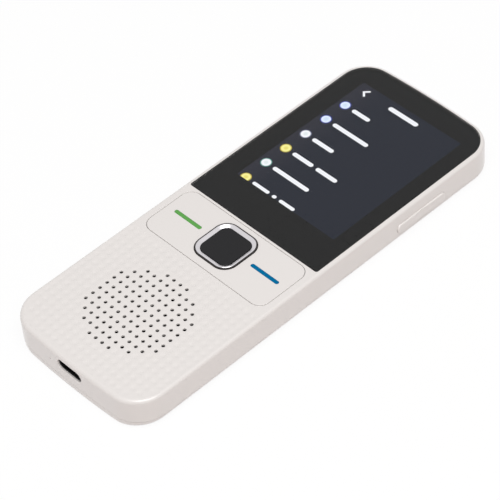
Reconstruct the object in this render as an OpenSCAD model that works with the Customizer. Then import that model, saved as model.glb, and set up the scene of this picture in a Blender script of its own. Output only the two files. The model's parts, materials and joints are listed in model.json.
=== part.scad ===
// Handheld translator: a slim two-shell body with a display window, a rocking
// key plate, a square centre key, a speaker grille and a side volume rocker.
// Millimetres. The origin is the centre of the rear face, +Z points out of the
// front face, +Y to the display end and +X to the volume rocker.

/* [Body] */
// Length of the body over both ends
body_l = 133.6; // [130:0.2:140]
// Width of the body, without the volume rocker
body_w = 50.6; // [50:0.2:56]
// Thickness from the rear face to the front face
body_t = 10.2; // [10.2:0.1:12]
// Radius of the body's corners in plan
corner_r = 9.4; // [8.6:0.1:10.6]
// How far the ends bow outward in the middle
end_bow = 1.0; // [0.2:0.1:1.4]
// Radius of the front edge along the sides
front_side_r = 0.9; // [0.5:0.1:1]
// Radius of the front edge along the ends
front_end_r = 1.3; // [0.8:0.1:1.5]
// Radius of the rear edge along the sides
rear_side_r = 2.8; // [1.6:0.1:3]
// Radius of the rear edge along the ends
rear_end_r = 1.0; // [0.6:0.1:2]
// Thickness of the side and end walls
side_wall = 1.5; // [1.3:0.1:1.7]
// Thickness of the front wall
front_wall = 1.6; // [1.4:0.1:1.7]
// Thickness of the rear cover's floor
floor_t = 1.4; // [1.2:0.1:1.6]
// Height of the seam between the two shells above the rear face
seam_z = 2.4; // [2.2:0.1:2.8]
// Width of the seam between the two shells
seam_gap = 0.1; // [0.05:0.01:0.15]
// Height of the rear cover's lip above the seam
lip_h = 1.1; // [0.8:0.1:1.4]
// Thickness of the rear cover's lip
lip_t = 0.8; // [0.6:0.1:0.9]
// Clearance between the lip and the front housing
lip_clearance = 0.1; // [0.05:0.01:0.15]

/* [Display] */
// Distance of the cover lens from the sides of the body
lens_side_inset = 1.2; // [1.15:0.05:1.6]
// Distance of the cover lens from the display end
lens_end_inset = 1.2; // [1.15:0.05:2]
// Thickness of the cover lens
lens_t = 0.9; // [0.7:0.05:1]
// Radius of the lens corners at the display end
lens_top_r = 8.1; // [7.4:0.1:9]
// Radius of the lens corners beside the keys
lens_foot_r = 0.6; // [0.4:0.1:1.2]
// Clearance round the lens in its seat
lens_clearance = 0.08; // [0.05:0.01:0.12]
// Thickness of the adhesive frame under the lens
tape_t = 0.1; // [0.08:0.01:0.14]
// Distance of the display module from the lens's sides
panel_inset = 3.0; // [2.2:0.1:3.4]
// Distance from the lens's key end to the lit area
lit_from_foot = 12.0; // [11:0.1:12.4]
// Distance from the lens's far end to the lit area
lit_from_top = 6.8; // [6:0.1:8]
// Length of the display module above the lit area
panel_top = 1.9; // [1.4:0.1:2.2]
// Length of the display module below the lit area
panel_foot = 7.3; // [6:0.1:7.5]
// Thickness of the display's glass
panel_t = 1.0; // [0.8:0.05:1.1]
// Thickness of the backlight tray under the display's glass
backlight_t = 1.1; // [0.9:0.05:1.15]
// Clearance round the display module in its window
panel_clearance = 0.2; // [0.1:0.05:0.3]

/* [Keys] */
// Distance of the key plate from the sides of the body
plate_inset = 2.65; // [2.4:0.05:3.2]
// Length of the key plate
plate_l = 18.0; // [17.6:0.1:18.4]
// Thickness of the key plate
plate_t = 1.3; // [1.1:0.05:1.4]
// Radius of the key plate's corners
plate_r = 3.3; // [2.6:0.1:4]
// Width of the groove round the key plate
plate_gap = 0.2; // [0.15:0.01:0.3]
// Strip of housing between the lens and the groove
lens_to_plate = 0.7; // [0.6:0.05:1]
// Radius of the key plate's pivot pins
pivot_r = 0.5; // [0.4:0.05:0.55]
// Running clearance of the pivot pins in their bearings
pivot_clearance = 0.05; // [0.03:0.01:0.08]
// Distance of the pivot axis below the front wall
pivot_drop = 0.5; // [0.5:0.05:0.6]
// Distance of the middle of each side key from the plate's end
mark_inset = 8.0; // [7:0.1:8.6]
// Length of each mark
mark_l = 10.1; // [8:0.1:11]
// Width of each mark
mark_w = 1.15; // [0.8:0.05:1.4]
// Depth of the marks in the key plate
mark_depth = 0.35; // [0.25:0.05:0.5]
// Clearance round the marks in their recesses
mark_clearance = 0.03; // [0.02:0.01:0.05]
// Outer size of the square ring round the centre key
ring_size = 14.2; // [13.6:0.1:14.4]
// Corner radius of the ring, outside
ring_r = 4.1; // [3.6:0.1:4.6]
// How far the ring stands above the front face
ring_proud = 0.35; // [0.25:0.05:0.45]
// Gap between the ring and the key plate
ring_gap = 0.15; // [0.12:0.01:0.2]
// Size of the centre key's square cap
cap_size = 11.0; // [10.6:0.1:11.2]
// Corner radius of the cap
cap_r = 2.4; // [2:0.1:3]
// How far the cap stands above the front face
cap_proud = 0.1; // [0.05:0.05:0.2]
// Clearance between the cap and the ring
cap_clearance = 0.05; // [0.03:0.01:0.08]
// Travel of the centre key
key_travel = 0.4; // [0.3:0.05:0.45]
// Free gap of each side key above its switch
side_key_gap = 0.3; // [0.28:0.01:0.4]

/* [Speaker] */
// Gap between the port's shell and the speaker
speaker_port_gap = 1.75; // [1:0.05:2.4]
// Gap between the speaker and the key plate
speaker_plate_gap = 6.95; // [4.2:0.05:8]
// Pitch of the grille holes, both ways
grille_pitch = 2.46; // [2.3:0.01:2.5]
// Holes along each side of the grille's square field
grille_count = 12; // [8:2:12]
// Diameter of the grille holes
grille_hole_d = 1.0; // [0.7:0.05:1.2]
// Outer radius of the speaker
speaker_r = 14.6; // [13:0.1:14.8]
// Height of the speaker's frame
speaker_h = 2.5; // [2.2:0.1:2.6]
// Thickness of the speaker's gasket
gasket_t = 0.3; // [0.2:0.05:0.4]
// Thickness of the dust cloth behind the grille
cloth_t = 0.12; // [0.08:0.01:0.15]

/* [Volume rocker] */
// Distance of the rocker's middle from the display end
rocker_from_end = 31.3; // [29:0.1:33]
// Height of the rocker's middle above the rear face
rocker_z = 4.75; // [4.6:0.05:5]
// Length of the rocker
rocker_l = 18.0; // [15:0.1:19]
// Width of the rocker
rocker_w = 3.0; // [2.6:0.1:3.2]
// How far the rocker stands out of the side
rocker_proud = 0.5; // [0.3:0.05:0.6]
// Clearance round the rocker in its window
rocker_clearance = 0.2; // [0.15:0.01:0.25]
// Radius of the rocker's pivot pin
rocker_pin_r = 0.4; // [0.3:0.05:0.45]

/* [Port and microphone] */
// Width of the connector's metal shell
port_w = 8.94; // [8.8:0.01:9]
// Height of the connector's metal shell
port_h = 3.2; // [3.1:0.01:3.26]
// Length of the connector's metal shell
port_l = 7.3; // [6.5:0.1:7.6]
// Thickness of the shell's sheet metal
port_sheet = 0.3; // [0.2:0.05:0.35]
// Clearance round the shell in the end wall
port_clearance = 0.2; // [0.15:0.01:0.25]
// How far the shell's mouth lies inside the end wall's outer face
port_recess = 0.5; // [0.3:0.05:0.8]
// Distance of the microphone hole from the middle
mic_x = 7.8; // [7.4:0.1:10]
// Diameter of the microphone hole
mic_hole_d = 0.9; // [0.6:0.05:1]

/* [Inside] */
// Depth of the main board's underside below the front face
board_depth = 5.7; // [5.6:0.05:5.8]
// Thickness of the main board
board_t = 0.8; // [0.7:0.05:0.9]
// Clearance between the main board and the side walls
board_clearance = 0.9; // [0.6:0.1:1.2]
// Width of the battery
battery_w = 34; // [30:0.5:36]
// Distance of the battery from the display end
battery_from_end = 9.4; // [8.4:0.1:16]
// Room above the battery for its swelling
battery_gap = 0.55; // [0.4:0.05:0.9]
// Thickness of the tape that holds the battery
battery_tape_t = 0.15; // [0.1:0.01:0.2]
// Radius of the screw bosses
boss_r = 1.5; // [1.4:0.05:1.7]
// Radius of the screws' threads
screw_r = 0.6; // [0.5:0.05:0.7]
// Radius of the screws' heads
screw_head_r = 1.3; // [1.1:0.05:1.5]
// Height of the screws' heads
screw_head_h = 0.6; // [0.5:0.05:0.7]
// Distance of the lower screws from the sides
screw_low_inset = 6.3; // [6.1:0.1:6.7]
// Distance of the lower screws from the port end
screw_low_end = 6.4; // [6.2:0.1:7]
// Distance of the upper screws from the middle
screw_high_x = 11.0; // [9:0.1:12]
// Distance of the upper screws from the display end
screw_high_end = 4.3; // [4.3:0.05:4.5]

/* [Hidden] */

arc_steps = 10;
bow_steps = 10;
edge_steps = 6;
bore_fn = 32;
corner_fn = 48;
grille_fn = 16;
mic_fn = 24;
lead_fn = 16;
disc_fn = 64;
dip_fn = 96;
through = 1;
sink = 0.1;
hair = 0.01;

half_l = body_l / 2;
half_w = body_w / 2;
front_under = body_t - front_wall;

// Places along the body, from the port end
grille_y = -half_l + port_recess + port_l + speaker_port_gap + speaker_r;
plate_w = body_w - 2 * plate_inset;
plate_y = grille_y + speaker_r + speaker_plate_gap + plate_l / 2;
plate_top_y = plate_y + plate_l / 2;
mark_x = plate_w / 2 - mark_inset;

// Display stack, from the front face down
lens_w = body_w - 2 * lens_side_inset;
lens_top_y = half_l - lens_end_inset;
lens_foot_y = plate_top_y + plate_gap + lens_to_plate;
lens_z = body_t - lens_t;
ledge_z = lens_z - tape_t;
panel_w = lens_w - 2 * panel_inset;
panel_y0 = lens_foot_y + lit_from_foot - panel_foot;
panel_y1 = lens_top_y - lit_from_top + panel_top;
panel_z = ledge_z - panel_t;
backlight_z = panel_z - backlight_t;
panel_r = 0.8;
tape_inset = 0.3;

// Key plate and centre key
plate_z = body_t - plate_t;
pivot_z = front_under - pivot_drop;
pivot_overhang = 1.5;
pivot_root = 0.8;
bearing_w = 2.6;
bearing_wall = 0.7;
key_offset = 0.4;
key_y = plate_y + key_offset;
mark_proud = 0.02;
flange_t = 0.7;
flange_play = 0.2;
flange_z = plate_z - flange_play - flange_t;
flange_margin = 0.45;
flange_size = ring_size + 2 * flange_margin;
cap_z = flange_z;
ring_land = 0.45;
ring_slope_start = 0.1;
ring_top = body_t + ring_proud;
switch_size = 4.5;
switch_t = 1.3;
plunger_r = 1.1;
plunger_h = 0.15;
board_z = body_t - board_depth;
board_top = board_z + board_t;
switch_top = board_top + switch_t + plunger_h;
pusher_r = 1.5;
key_spare = 0.05;
key_gap = key_travel + key_spare;

// Speaker stack, from the front wall down
grille_half = grille_count / 2;
grille_squash = 1.1;
grille_margin = 0.2;
cloth_holes = 5.9;
cloth_margin = 1;
cloth_r = grille_pitch * cloth_holes + cloth_margin;
speaker_top = front_under - cloth_t - gasket_t;
speaker_z = speaker_top - speaker_h;
magnet_r = 7;
magnet_h = 1.5;
magnet_gap = 0.05;
magnet_cover = 0.2;
speaker_rim = 1.2;
cone_gap = 0.05;
cone_t = 0.25;
cone_flat_r = 3.5;
cone_rise = 0.35;

// Volume rocker
rocker_y = half_l - rocker_from_end;
wall_inner_x = half_w - side_wall;
rocker_window_l = rocker_l + 2 * rocker_clearance;
rocker_window_w = rocker_w + 2 * rocker_clearance;
rocker_back_gap = 0.25;
rocker_back_t = 0.7;
rocker_back_over = 0.35;
rocker_back_x = wall_inner_x - rocker_back_gap - rocker_back_t;
rocker_pin_x = rocker_back_x + rocker_back_t / 2;
rocker_dip_r = 16;
rocker_dip = 0.16;
rocker_flat = 0.4;
lug_l = 2.2;
lug_t = 0.6;
lug_margin = 0.6;
lug_sink = 0.2;
side_switch_y = 6;
side_switch_gap = 0.15;
side_switch_t = 1.0;
side_switch_l = 3.0;
side_switch_w = 2.4;
side_board_t = 0.4;
side_board_x = rocker_back_x - side_switch_gap - side_switch_t - side_board_t;
side_board_h = 3.9;
side_board_z = rocker_z - side_board_h / 2;
side_board_l = 19;
side_rib_t = 0.6;
side_rib_gap = 0.1;
side_rib_inset = 1;
side_rib_below = 0.5;
lip_notch_margin = 1;

// Port and microphone
end_wall_y = -half_l;
port_z = board_top + port_h / 2;
tongue_w = 6.7;
tongue_t = 0.7;
tongue_l = 4.6;
port_back_t = 1;
port_mouth_y = end_wall_y + port_recess;
port_back_y = port_mouth_y + port_l - port_back_t;
mic_w = 3.0;
mic_l = 2.2;
mic_h = 1.0;
mic_z = board_top + mic_h / 2;
mic_setback = 1.6;
mic_y = end_wall_y + side_wall + mic_setback;
boot_w = 3.4;
boot_h = 1.9;
boot_gap = 0.05;

// Board, battery and screws
board_past_lens = 3;
board_end_y = lens_foot_y + board_past_lens;
post_r = 1.4;
post_inset = 4.7;
post_x = half_w - post_inset;
post_low = 9.5;
post_high = 16.6;
post_end = 2.8;
post_ys = [grille_y - post_low, grille_y + post_high, board_end_y - post_end];
battery_board_gap = 2.6;
battery_foot_y = board_end_y + battery_board_gap;
battery_l = half_l - battery_from_end - battery_foot_y;
battery_z = floor_t + battery_tape_t;
battery_t = backlight_z - battery_gap - battery_z;
battery_r = 1.5;
battery_tape_side = 4;
battery_tape_end = 6;
lead_r = 0.45;
lead_inset = 5;
lead_x = battery_w / 2 - lead_inset;
lead_lap = 1.4;
lead_pitch = 2.0;
connector_w = 5.2;
connector_l = 3.4;
connector_h = 1.5;
head_recess = 0.25;
head_clearance = 0.15;
shank_clearance = 0.15;
thread_clearance = 0.03;
cover_boss_h = 1.2;
boss_gap = 0.2;
boss_z = floor_t + cover_boss_h + boss_gap;
boss_sink = 0.2;
board_hole_gap = 0.3;
screw_l = 5.2;
slot_l = 1.6;
slot_w = 0.3;
slot_depth = 0.35;
shield_w = 22;
shield_l = 17;
shield_h = 1.7;
shield_sheet = 0.2;
shield_offset = 3;
shield_y = grille_y + shield_offset;
flex_w = 12;
flex_t = 0.2;
flex_from_end = 2.4;
flex_y = board_end_y - flex_from_end;
flex_h = 1.2;
flex_lap = 2.5;
flex_turn = 0.3;
flex_seat = 1.6;
lcd_connector_over = 0.6;
lcd_connector_l = 2.3;
chip_gap = 0.02;
processor_size = 10;
processor_x = -4.2;
processor_h = 1.0;
memory_w = 7;
memory_l = 9;
memory_x = 6.6;
memory_h = 0.9;
power_size = 5;
power_x = -12;
power_h = 0.85;
capacitor_w = 1.0;
capacitor_l = 0.6;
capacitor_h = 0.5;
capacitor_pitch = 2.4;
capacitor_rows = 3.2;
capacitor_x = -5;
capacitor_count = 6;
antenna_l = 30;
antenna_t = 0.18;
antenna_gap = 0.02;
antenna_low = 0.3;
antenna_high = 0.1;
screw_low_x = half_w - screw_low_inset;

screw_spots = [
    [-screw_low_x, -half_l + screw_low_end], [screw_low_x, -half_l + screw_low_end],
    [-screw_high_x, half_l - screw_high_end], [screw_high_x, half_l - screw_high_end]
];

// ---- Outlines and lofts ----

function arc_points(cx, cy, r, a0, a1) =
    [for (i = [0:arc_steps]) let (a = a0 + (a1 - a0) * i / arc_steps) [cx + r * cos(a), cy + r * sin(a)]];

// Angle at which an end that bows by `bow` meets a corner centred at cx
function bow_angle(cx, w, bow) = atan(8 * bow * cx / (w * w));
function bow_drop(x, w, bow) = bow * pow(2 * x / w, 2);

// Counter-clockwise outline of width w from y0 to y1, with corner radii r0, r1 and bowed ends
function plan(w, y0, y1, r0, r1, bow0, bow1) =
    let (
        c0 = w / 2 - r0,
        c1 = w / 2 - r1,
        s0 = bow_angle(c0, w, bow0),
        s1 = bow_angle(c1, w, bow1),
        e0 = c0 + r0 * sin(s0),
        e1 = c1 + r1 * sin(s1),
        cy0 = y0 + bow_drop(e0, w, bow0) + r0 * cos(s0),
        cy1 = y1 - bow_drop(e1, w, bow1) - r1 * cos(s1)
    )
    concat(
        arc_points(c0, cy0, r0, -90 + s0, 0),
        arc_points(c1, cy1, r1, 0, 90 - s1),
        [
            for (i = [1:bow_steps - 1]) if (bow1 > 0)
                let (x = e1 * (1 - 2 * i / bow_steps)) [x, y1 - bow_drop(x, w, bow1)]
        ],
        arc_points(-c1, cy1, r1, 90 + s1, 180),
        arc_points(-c0, cy0, r0, 180, 270 - s0),
        [
            for (i = [1:bow_steps - 1]) if (bow0 > 0)
                let (x = -e0 * (1 - 2 * i / bow_steps)) [x, y0 + bow_drop(x, w, bow0)]
        ]
    );

function body_plan(side_inset, end_inset) =
    let (r = corner_r - (side_inset + end_inset) / 2)
    plan(body_w - 2 * side_inset, -half_l + end_inset, half_l - end_inset, r, r, end_bow, end_bow);

// Inset of a rounded edge of radius r at distance d from the face that it rounds
function edge_inset(r, d) = d < r ? r - sqrt(r * r - (r - d) * (r - d)) : 0;

function body_ring(z) =
    let (
        side = max(edge_inset(front_side_r, body_t - z), edge_inset(rear_side_r, z)),
        end = max(edge_inset(front_end_r, body_t - z), edge_inset(rear_end_r, z))
    )
    [for (p = body_plan(side, end)) [p[0], p[1], z]];

function rear_levels() =
    [for (i = [0:edge_steps]) rear_side_r * (1 - cos(90 * i / edge_steps))];
function front_levels() =
    [for (i = [edge_steps:-1:0]) body_t - front_end_r * (1 - cos(90 * i / edge_steps))];

// Solid through a stack of rings that all have the same number of points
module loft(rings) {
    n = len(rings[0]);
    m = len(rings);
    side_faces = [
        for (k = [0:m - 2]) for (i = [0:n - 1])
            let (j = (i + 1) % n) [k * n + i, (k + 1) * n + i, (k + 1) * n + j, k * n + j]
    ];
    polyhedron(
        points = [for (ring = rings) for (p = ring) p],
        faces = concat(
            [[for (i = [0:n - 1]) i]],
            side_faces,
            [[for (i = [n - 1:-1:0]) (m - 1) * n + i]]
        ),
        convexity = 4
    );
}

module body_slice(z0, z1) {
    inner = [for (z = concat(rear_levels(), front_levels())) if (z > z0 + 0.05 && z < z1 - 0.05) z];
    loft([for (z = concat([z0], inner, [z1])) body_ring(z)]);
}

module body_prism(inset, z0, z1) {
    translate([0, 0, z0]) linear_extrude(z1 - z0) polygon(body_plan(inset, inset));
}

module lens_prism(grow, z0, z1) {
    translate([0, 0, z0]) linear_extrude(z1 - z0)
        polygon(plan(
            lens_w + 2 * grow, lens_foot_y - grow, lens_top_y + grow,
            lens_foot_r + grow, lens_top_r + grow, 0, end_bow
        ));
}

module rounded_rect(w, l, r) {
    square([w - 2 * r, l], center = true);
    square([w, l - 2 * r], center = true);
    for (x = [-1, 1]) for (y = [-1, 1])
        translate([x * (w / 2 - r), y * (l / 2 - r)]) circle(r = r, $fn = corner_fn);
}

module rounded_block(w, l, r, h) {
    linear_extrude(h) rounded_rect(w, l, r);
}

module panel_block(grow, z0, z1) {
    translate([0, (panel_y0 + panel_y1) / 2, z0])
        rounded_block(panel_w + 2 * grow, panel_y1 - panel_y0 + 2 * grow, panel_r, z1 - z0);
}

module box(x0, x1, y0, y1, z0, z1) {
    translate([x0, y0, z0]) cube([x1 - x0, y1 - y0, z1 - z0]);
}

// Stadium-shaped bar along -Y from y1 down to y0, centred on x = 0 and port_z
module port_bar(w, h, y0, y1) {
    translate([0, y1, port_z]) rotate([90, 0, 0]) linear_extrude(y1 - y0) {
        for (side = [-1, 1]) translate([side * (w - h) / 2, 0]) circle(d = h, $fn = bore_fn);
        square([w - h, h], center = true);
    }
}

// ---- Shells ----

// A grille hole is kept if it lies inside an ellipse that trims the square field's corners
function grille_keeps(i, j) = i * i + grille_squash * j * j <= pow(grille_half + grille_margin, 2);

module grille_holes(z0, z1) {
    for (i = [-grille_half + 0.5:grille_half - 0.5]) for (j = [-grille_half + 0.5:grille_half - 0.5])
        if (grille_keeps(i, j))
            translate([i * grille_pitch, grille_y + j * grille_pitch, z0])
                cylinder(d = grille_hole_d, h = z1 - z0, $fn = grille_fn);
}

module pivot_bearing(y0, y1) {
    difference() {
        box(
            -bearing_w / 2, bearing_w / 2, y0, y1,
            pivot_z - pivot_r - bearing_wall, front_under + through / 4
        );
        translate([0, y0 - through, pivot_z]) rotate([-90, 0, 0])
            cylinder(r = pivot_r + pivot_clearance, h = y1 - y0 + 2 * through, $fn = bore_fn);
    }
}

module rocker_lug(z0) {
    difference() {
        box(
            rocker_pin_x - rocker_pin_r - lug_margin, wall_inner_x + lug_sink,
            rocker_y - lug_l / 2, rocker_y + lug_l / 2, z0, z0 + lug_t
        );
        translate([rocker_pin_x, rocker_y, z0 - through])
            cylinder(r = rocker_pin_r + pivot_clearance, h = lug_t + 2 * through, $fn = bore_fn);
    }
}

module screw_boss(spot) {
    translate([spot[0], spot[1], boss_z]) difference() {
        cylinder(r = boss_r, h = front_under - boss_z + boss_sink, $fn = bore_fn);
        translate([0, 0, -through])
            cylinder(r = screw_r + thread_clearance, h = screw_l + through, $fn = bore_fn);
    }
}

module front_housing() {
    color("#e8e4e1") {
        difference() {
            body_slice(seam_z, body_t);
            body_prism(side_wall, seam_z - through, front_under);
            lens_prism(lens_clearance, ledge_z, body_t + through);
            panel_block(panel_clearance, front_under - through, body_t);
            translate([0, plate_y, front_under - through])
                rounded_block(
                    plate_w + 2 * plate_gap, plate_l + 2 * plate_gap,
                    plate_r + plate_gap, front_wall + 2 * through
                );
            grille_holes(front_under - through, body_t + through);
            port_bar(
                port_w + 2 * port_clearance, port_h + 2 * port_clearance,
                end_wall_y - through, end_wall_y + side_wall + through
            );
            translate([-mic_x, end_wall_y - through, mic_z]) rotate([-90, 0, 0])
                cylinder(d = mic_hole_d, h = side_wall + 2 * through, $fn = mic_fn);
            box(
                wall_inner_x - through, half_w + through,
                rocker_y - rocker_window_l / 2, rocker_y + rocker_window_l / 2,
                rocker_z - rocker_window_w / 2, rocker_z + rocker_window_w / 2
            );
        }
        pivot_bearing(plate_top_y + plate_gap, plate_top_y + pivot_overhang);
        pivot_bearing(plate_top_y - plate_l - pivot_overhang, plate_top_y - plate_l - plate_gap);
        rocker_lug(rocker_z - rocker_window_w / 2 - lug_t);
        rocker_lug(rocker_z + rocker_window_w / 2);
        for (spot = screw_spots) screw_boss(spot);
    }
}

module cover_boss(spot) {
    translate([spot[0], spot[1], floor_t - sink])
        cylinder(r = boss_r, h = cover_boss_h + sink, $fn = bore_fn);
}

module cover_screw_hole(spot) {
    translate([spot[0], spot[1], -through]) {
        cylinder(r = screw_r + shank_clearance, h = floor_t + cover_boss_h + 2 * through, $fn = bore_fn);
        cylinder(
            r = screw_head_r + head_clearance,
            h = through + head_recess + screw_head_h, $fn = bore_fn
        );
    }
}

module rear_cover() {
    lip_out = side_wall + lip_clearance;
    lip_top = seam_z + lip_h;
    color("#e2dedb") difference() {
        union() {
            difference() {
                union() {
                    body_slice(0, seam_z - seam_gap);
                    body_prism(lip_out, floor_t, lip_top);
                }
                body_prism(lip_out + lip_t, floor_t, lip_top + through);
                box(
                    wall_inner_x - lip_clearance - lip_t - through, half_w,
                    rocker_y - rocker_window_l / 2 - lip_notch_margin,
                    rocker_y + rocker_window_l / 2 + lip_notch_margin,
                    seam_z - seam_gap, lip_top + through
                );
            }
            for (spot = screw_spots) cover_boss(spot);
            for (side = [-1, 1]) for (y = post_ys)
                translate([side * post_x, y, floor_t - sink])
                    cylinder(r = post_r, h = board_z - floor_t + sink, $fn = bore_fn);
            box(
                side_board_x - side_rib_gap - side_rib_t, side_board_x - side_rib_gap,
                rocker_y - side_board_l / 2 + side_rib_inset, rocker_y + side_board_l / 2 - side_rib_inset,
                floor_t - sink, side_board_z + side_board_h - side_rib_below
            );
            box(
                side_board_x, side_board_x + side_board_t,
                rocker_y - side_board_l / 2 + side_rib_inset, rocker_y + side_board_l / 2 - side_rib_inset,
                floor_t - sink, side_board_z
            );
        }
        for (spot = screw_spots) cover_screw_hole(spot);
    }
}

// ---- Display ----

module cover_lens() {
    color("#202022") lens_prism(0, lens_z, body_t);
}

module lens_tape() {
    color("#303030") difference() {
        lens_prism(-tape_inset, ledge_z, lens_z);
        panel_block(panel_clearance, ledge_z - through, lens_z + through);
    }
}

module lcd_panel() {
    color("#3a3f52") panel_block(0, panel_z, ledge_z);
}

module lcd_backlight() {
    color("#d8dade") panel_block(0, backlight_z, panel_z);
}

module lcd_flex() {
    bend_y = panel_y0 - flex_turn;
    seat_z = board_top + flex_h;
    color("#c07a2c") translate([-flex_w / 2, 0, 0]) rotate([90, 0, 90]) linear_extrude(flex_w)
        polygon([
            [panel_y0 + flex_lap, backlight_z],
            [bend_y, backlight_z],
            [flex_y, seat_z],
            [flex_y - flex_seat, seat_z],
            [flex_y - flex_seat, seat_z - flex_t],
            [flex_y + flex_t / 2, seat_z - flex_t],
            [bend_y + flex_t / 2, backlight_z - flex_t],
            [panel_y0 + flex_lap, backlight_z - flex_t]
        ]);
}

module lcd_connector() {
    half_connector = flex_w / 2 + lcd_connector_over;
    color("#b9a77c") box(
        -half_connector, half_connector, flex_y - flex_turn - lcd_connector_l, flex_y - flex_turn,
        board_top, board_top + flex_h - flex_t
    );
}

// ---- Keys ----

module plate_mark(side, grow, z0, z1) {
    translate([side * mark_x, key_y, z0])
        rounded_block(mark_l + 2 * grow, mark_w + 2 * grow, mark_w / 2 + grow - hair, z1 - z0);
}

module pivot_pin(y0, y1, root_y) {
    translate([0, y0, pivot_z]) rotate([-90, 0, 0]) cylinder(r = pivot_r, h = y1 - y0, $fn = bore_fn);
    box(-pivot_r, pivot_r, root_y, root_y + pivot_root, pivot_z, plate_z + sink);
}

module key_plate() {
    bottom_y = plate_top_y - plate_l;
    color("#e6e3e0") {
        difference() {
            translate([0, plate_y, plate_z]) rounded_block(plate_w, plate_l, plate_r, plate_t);
            translate([0, key_y, plate_z - through])
                rounded_block(
                    ring_size + 2 * ring_gap, ring_size + 2 * ring_gap,
                    ring_r + ring_gap, plate_t + 2 * through
                );
            for (side = [-1, 1])
                plate_mark(side, mark_clearance, body_t - mark_depth - mark_clearance, body_t + through);
        }
        pivot_pin(plate_top_y - pivot_root, plate_top_y + pivot_overhang, plate_top_y - pivot_root);
        pivot_pin(bottom_y - pivot_overhang, bottom_y + pivot_root, bottom_y);
        for (side = [-1, 1])
            translate([side * mark_x, key_y, switch_top + side_key_gap])
                cylinder(r = pusher_r, h = plate_z - switch_top - side_key_gap + sink, $fn = bore_fn);
    }
}

module green_mark() {
    color("#57a04a") plate_mark(-1, 0, body_t - mark_depth, body_t + mark_proud);
}

module blue_mark() {
    color("#0a6aa2") plate_mark(1, 0, body_t - mark_depth, body_t + mark_proud);
}

function square_ring(size, r, z) =
    [for (p = plan(size, key_y - size / 2, key_y + size / 2, r, r, 0, 0)) [p[0], p[1], z]];

module button_ring() {
    inner = cap_size + 2 * cap_clearance;
    inner_r = cap_r + cap_clearance;
    land = ring_size - 2 * ring_land;
    color("#d9dbde") difference() {
        translate([0, key_y, flange_z + flange_t])
            rounded_block(ring_size, ring_size, ring_r, ring_top - flange_z - flange_t);
        translate([0, key_y, flange_z]) rounded_block(inner, inner, inner_r, body_t);
        loft([
            square_ring(
                inner - 2 * ring_slope_start, inner_r - ring_slope_start,
                body_t + cap_proud - ring_slope_start
            ),
            square_ring(land, ring_r - ring_land, ring_top + hair)
        ]);
    }
}

module center_button() {
    color("#1f1f21") {
        translate([0, key_y, cap_z]) rounded_block(cap_size, cap_size, cap_r, body_t + cap_proud - cap_z);
        translate([0, key_y, flange_z]) rounded_block(flange_size, flange_size, ring_r, flange_t);
        translate([0, key_y, switch_top + key_gap])
            cylinder(r = pusher_r, h = flange_z - switch_top - key_gap + sink, $fn = bore_fn);
    }
}

module tact_switch(x) {
    color("#c9ccd0") translate([x, key_y, board_top]) {
        translate([0, 0, switch_t / 2]) cube([switch_size, switch_size, switch_t], center = true);
        cylinder(r = plunger_r, h = switch_t + plunger_h, $fn = bore_fn);
    }
}

module left_switch() {
    tact_switch(-mark_x);
}

module center_switch() {
    tact_switch(0);
}

module right_switch() {
    tact_switch(mark_x);
}

// ---- Board ----

module main_board() {
    color("#1d5a37") difference() {
        intersection() {
            body_prism(side_wall + board_clearance, board_z, board_top);
            box(-half_w, half_w, -half_l, board_end_y, board_z - through, board_top + through);
        }
        for (spot = screw_spots)
            translate([spot[0], spot[1], board_z - through])
                cylinder(r = boss_r + board_hole_gap, h = board_t + 2 * through, $fn = bore_fn);
    }
}

module chip(x, y, w, l, h) {
    box(x - w / 2, x + w / 2, y - l / 2, y + l / 2, board_z - h, board_z - chip_gap);
}

module processor() {
    color("#2a2b2e") chip(processor_x, shield_y, processor_size, processor_size, processor_h);
}

module memory_chip() {
    color("#232427") chip(memory_x, shield_y, memory_w, memory_l, memory_h);
}

module power_chip() {
    color("#26272a") chip(power_x, key_y, power_size, power_size, power_h);
}

module chip_capacitors() {
    color("#b38a5a") for (row = [0, 1]) for (i = [0:capacitor_count - 1])
        chip(
            capacitor_x + capacitor_pitch * i, key_y + (row - 0.5) * capacitor_rows,
            capacitor_w, capacitor_l, capacitor_h
        );
}

module rf_shield() {
    color("#b9bcc0") difference() {
        chip(0, shield_y, shield_w, shield_l, shield_h);
        translate([0, 0, hair]) box(
            -shield_w / 2 + shield_sheet, shield_w / 2 - shield_sheet,
            shield_y - shield_l / 2 + shield_sheet, shield_y + shield_l / 2 - shield_sheet,
            board_z - shield_h + shield_sheet, board_z
        );
    }
}

module usb_c_shell() {
    color("#c4c7ca") difference() {
        port_bar(port_w, port_h, port_mouth_y, port_mouth_y + port_l);
        port_bar(
            port_w - 2 * port_sheet, port_h - 2 * port_sheet,
            port_mouth_y - through, port_back_y
        );
    }
}

module usb_c_tongue() {
    color("#222326") box(
        -tongue_w / 2, tongue_w / 2, port_back_y - tongue_l, port_back_y,
        port_z - tongue_t / 2, port_z + tongue_t / 2
    );
}

// ---- Speaker and microphone ----

module disc(r, z0, z1) {
    translate([0, grille_y, z0]) cylinder(r = r, h = z1 - z0, $fn = disc_fn);
}

module speaker_frame() {
    color("#3b3c40") difference() {
        disc(speaker_r, speaker_z, speaker_top);
        disc(speaker_r - speaker_rim, speaker_z + magnet_h + magnet_cover, speaker_top + through);
        disc(magnet_r + magnet_gap, speaker_z - through, speaker_z + magnet_h + through);
    }
}

module speaker_cone() {
    base_z = speaker_z + magnet_h + magnet_cover + cone_gap;
    edge_r = speaker_r - speaker_rim - cone_gap;
    color("#26272a") translate([0, grille_y, base_z]) rotate_extrude($fn = disc_fn) polygon([
        [0, 0], [cone_flat_r, 0], [edge_r, cone_rise], [edge_r, cone_rise + cone_t],
        [cone_flat_r, cone_t], [0, cone_t]
    ]);
}

module speaker_magnet() {
    color("#9a9da2") disc(magnet_r, speaker_z, speaker_z + magnet_h);
}

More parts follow.
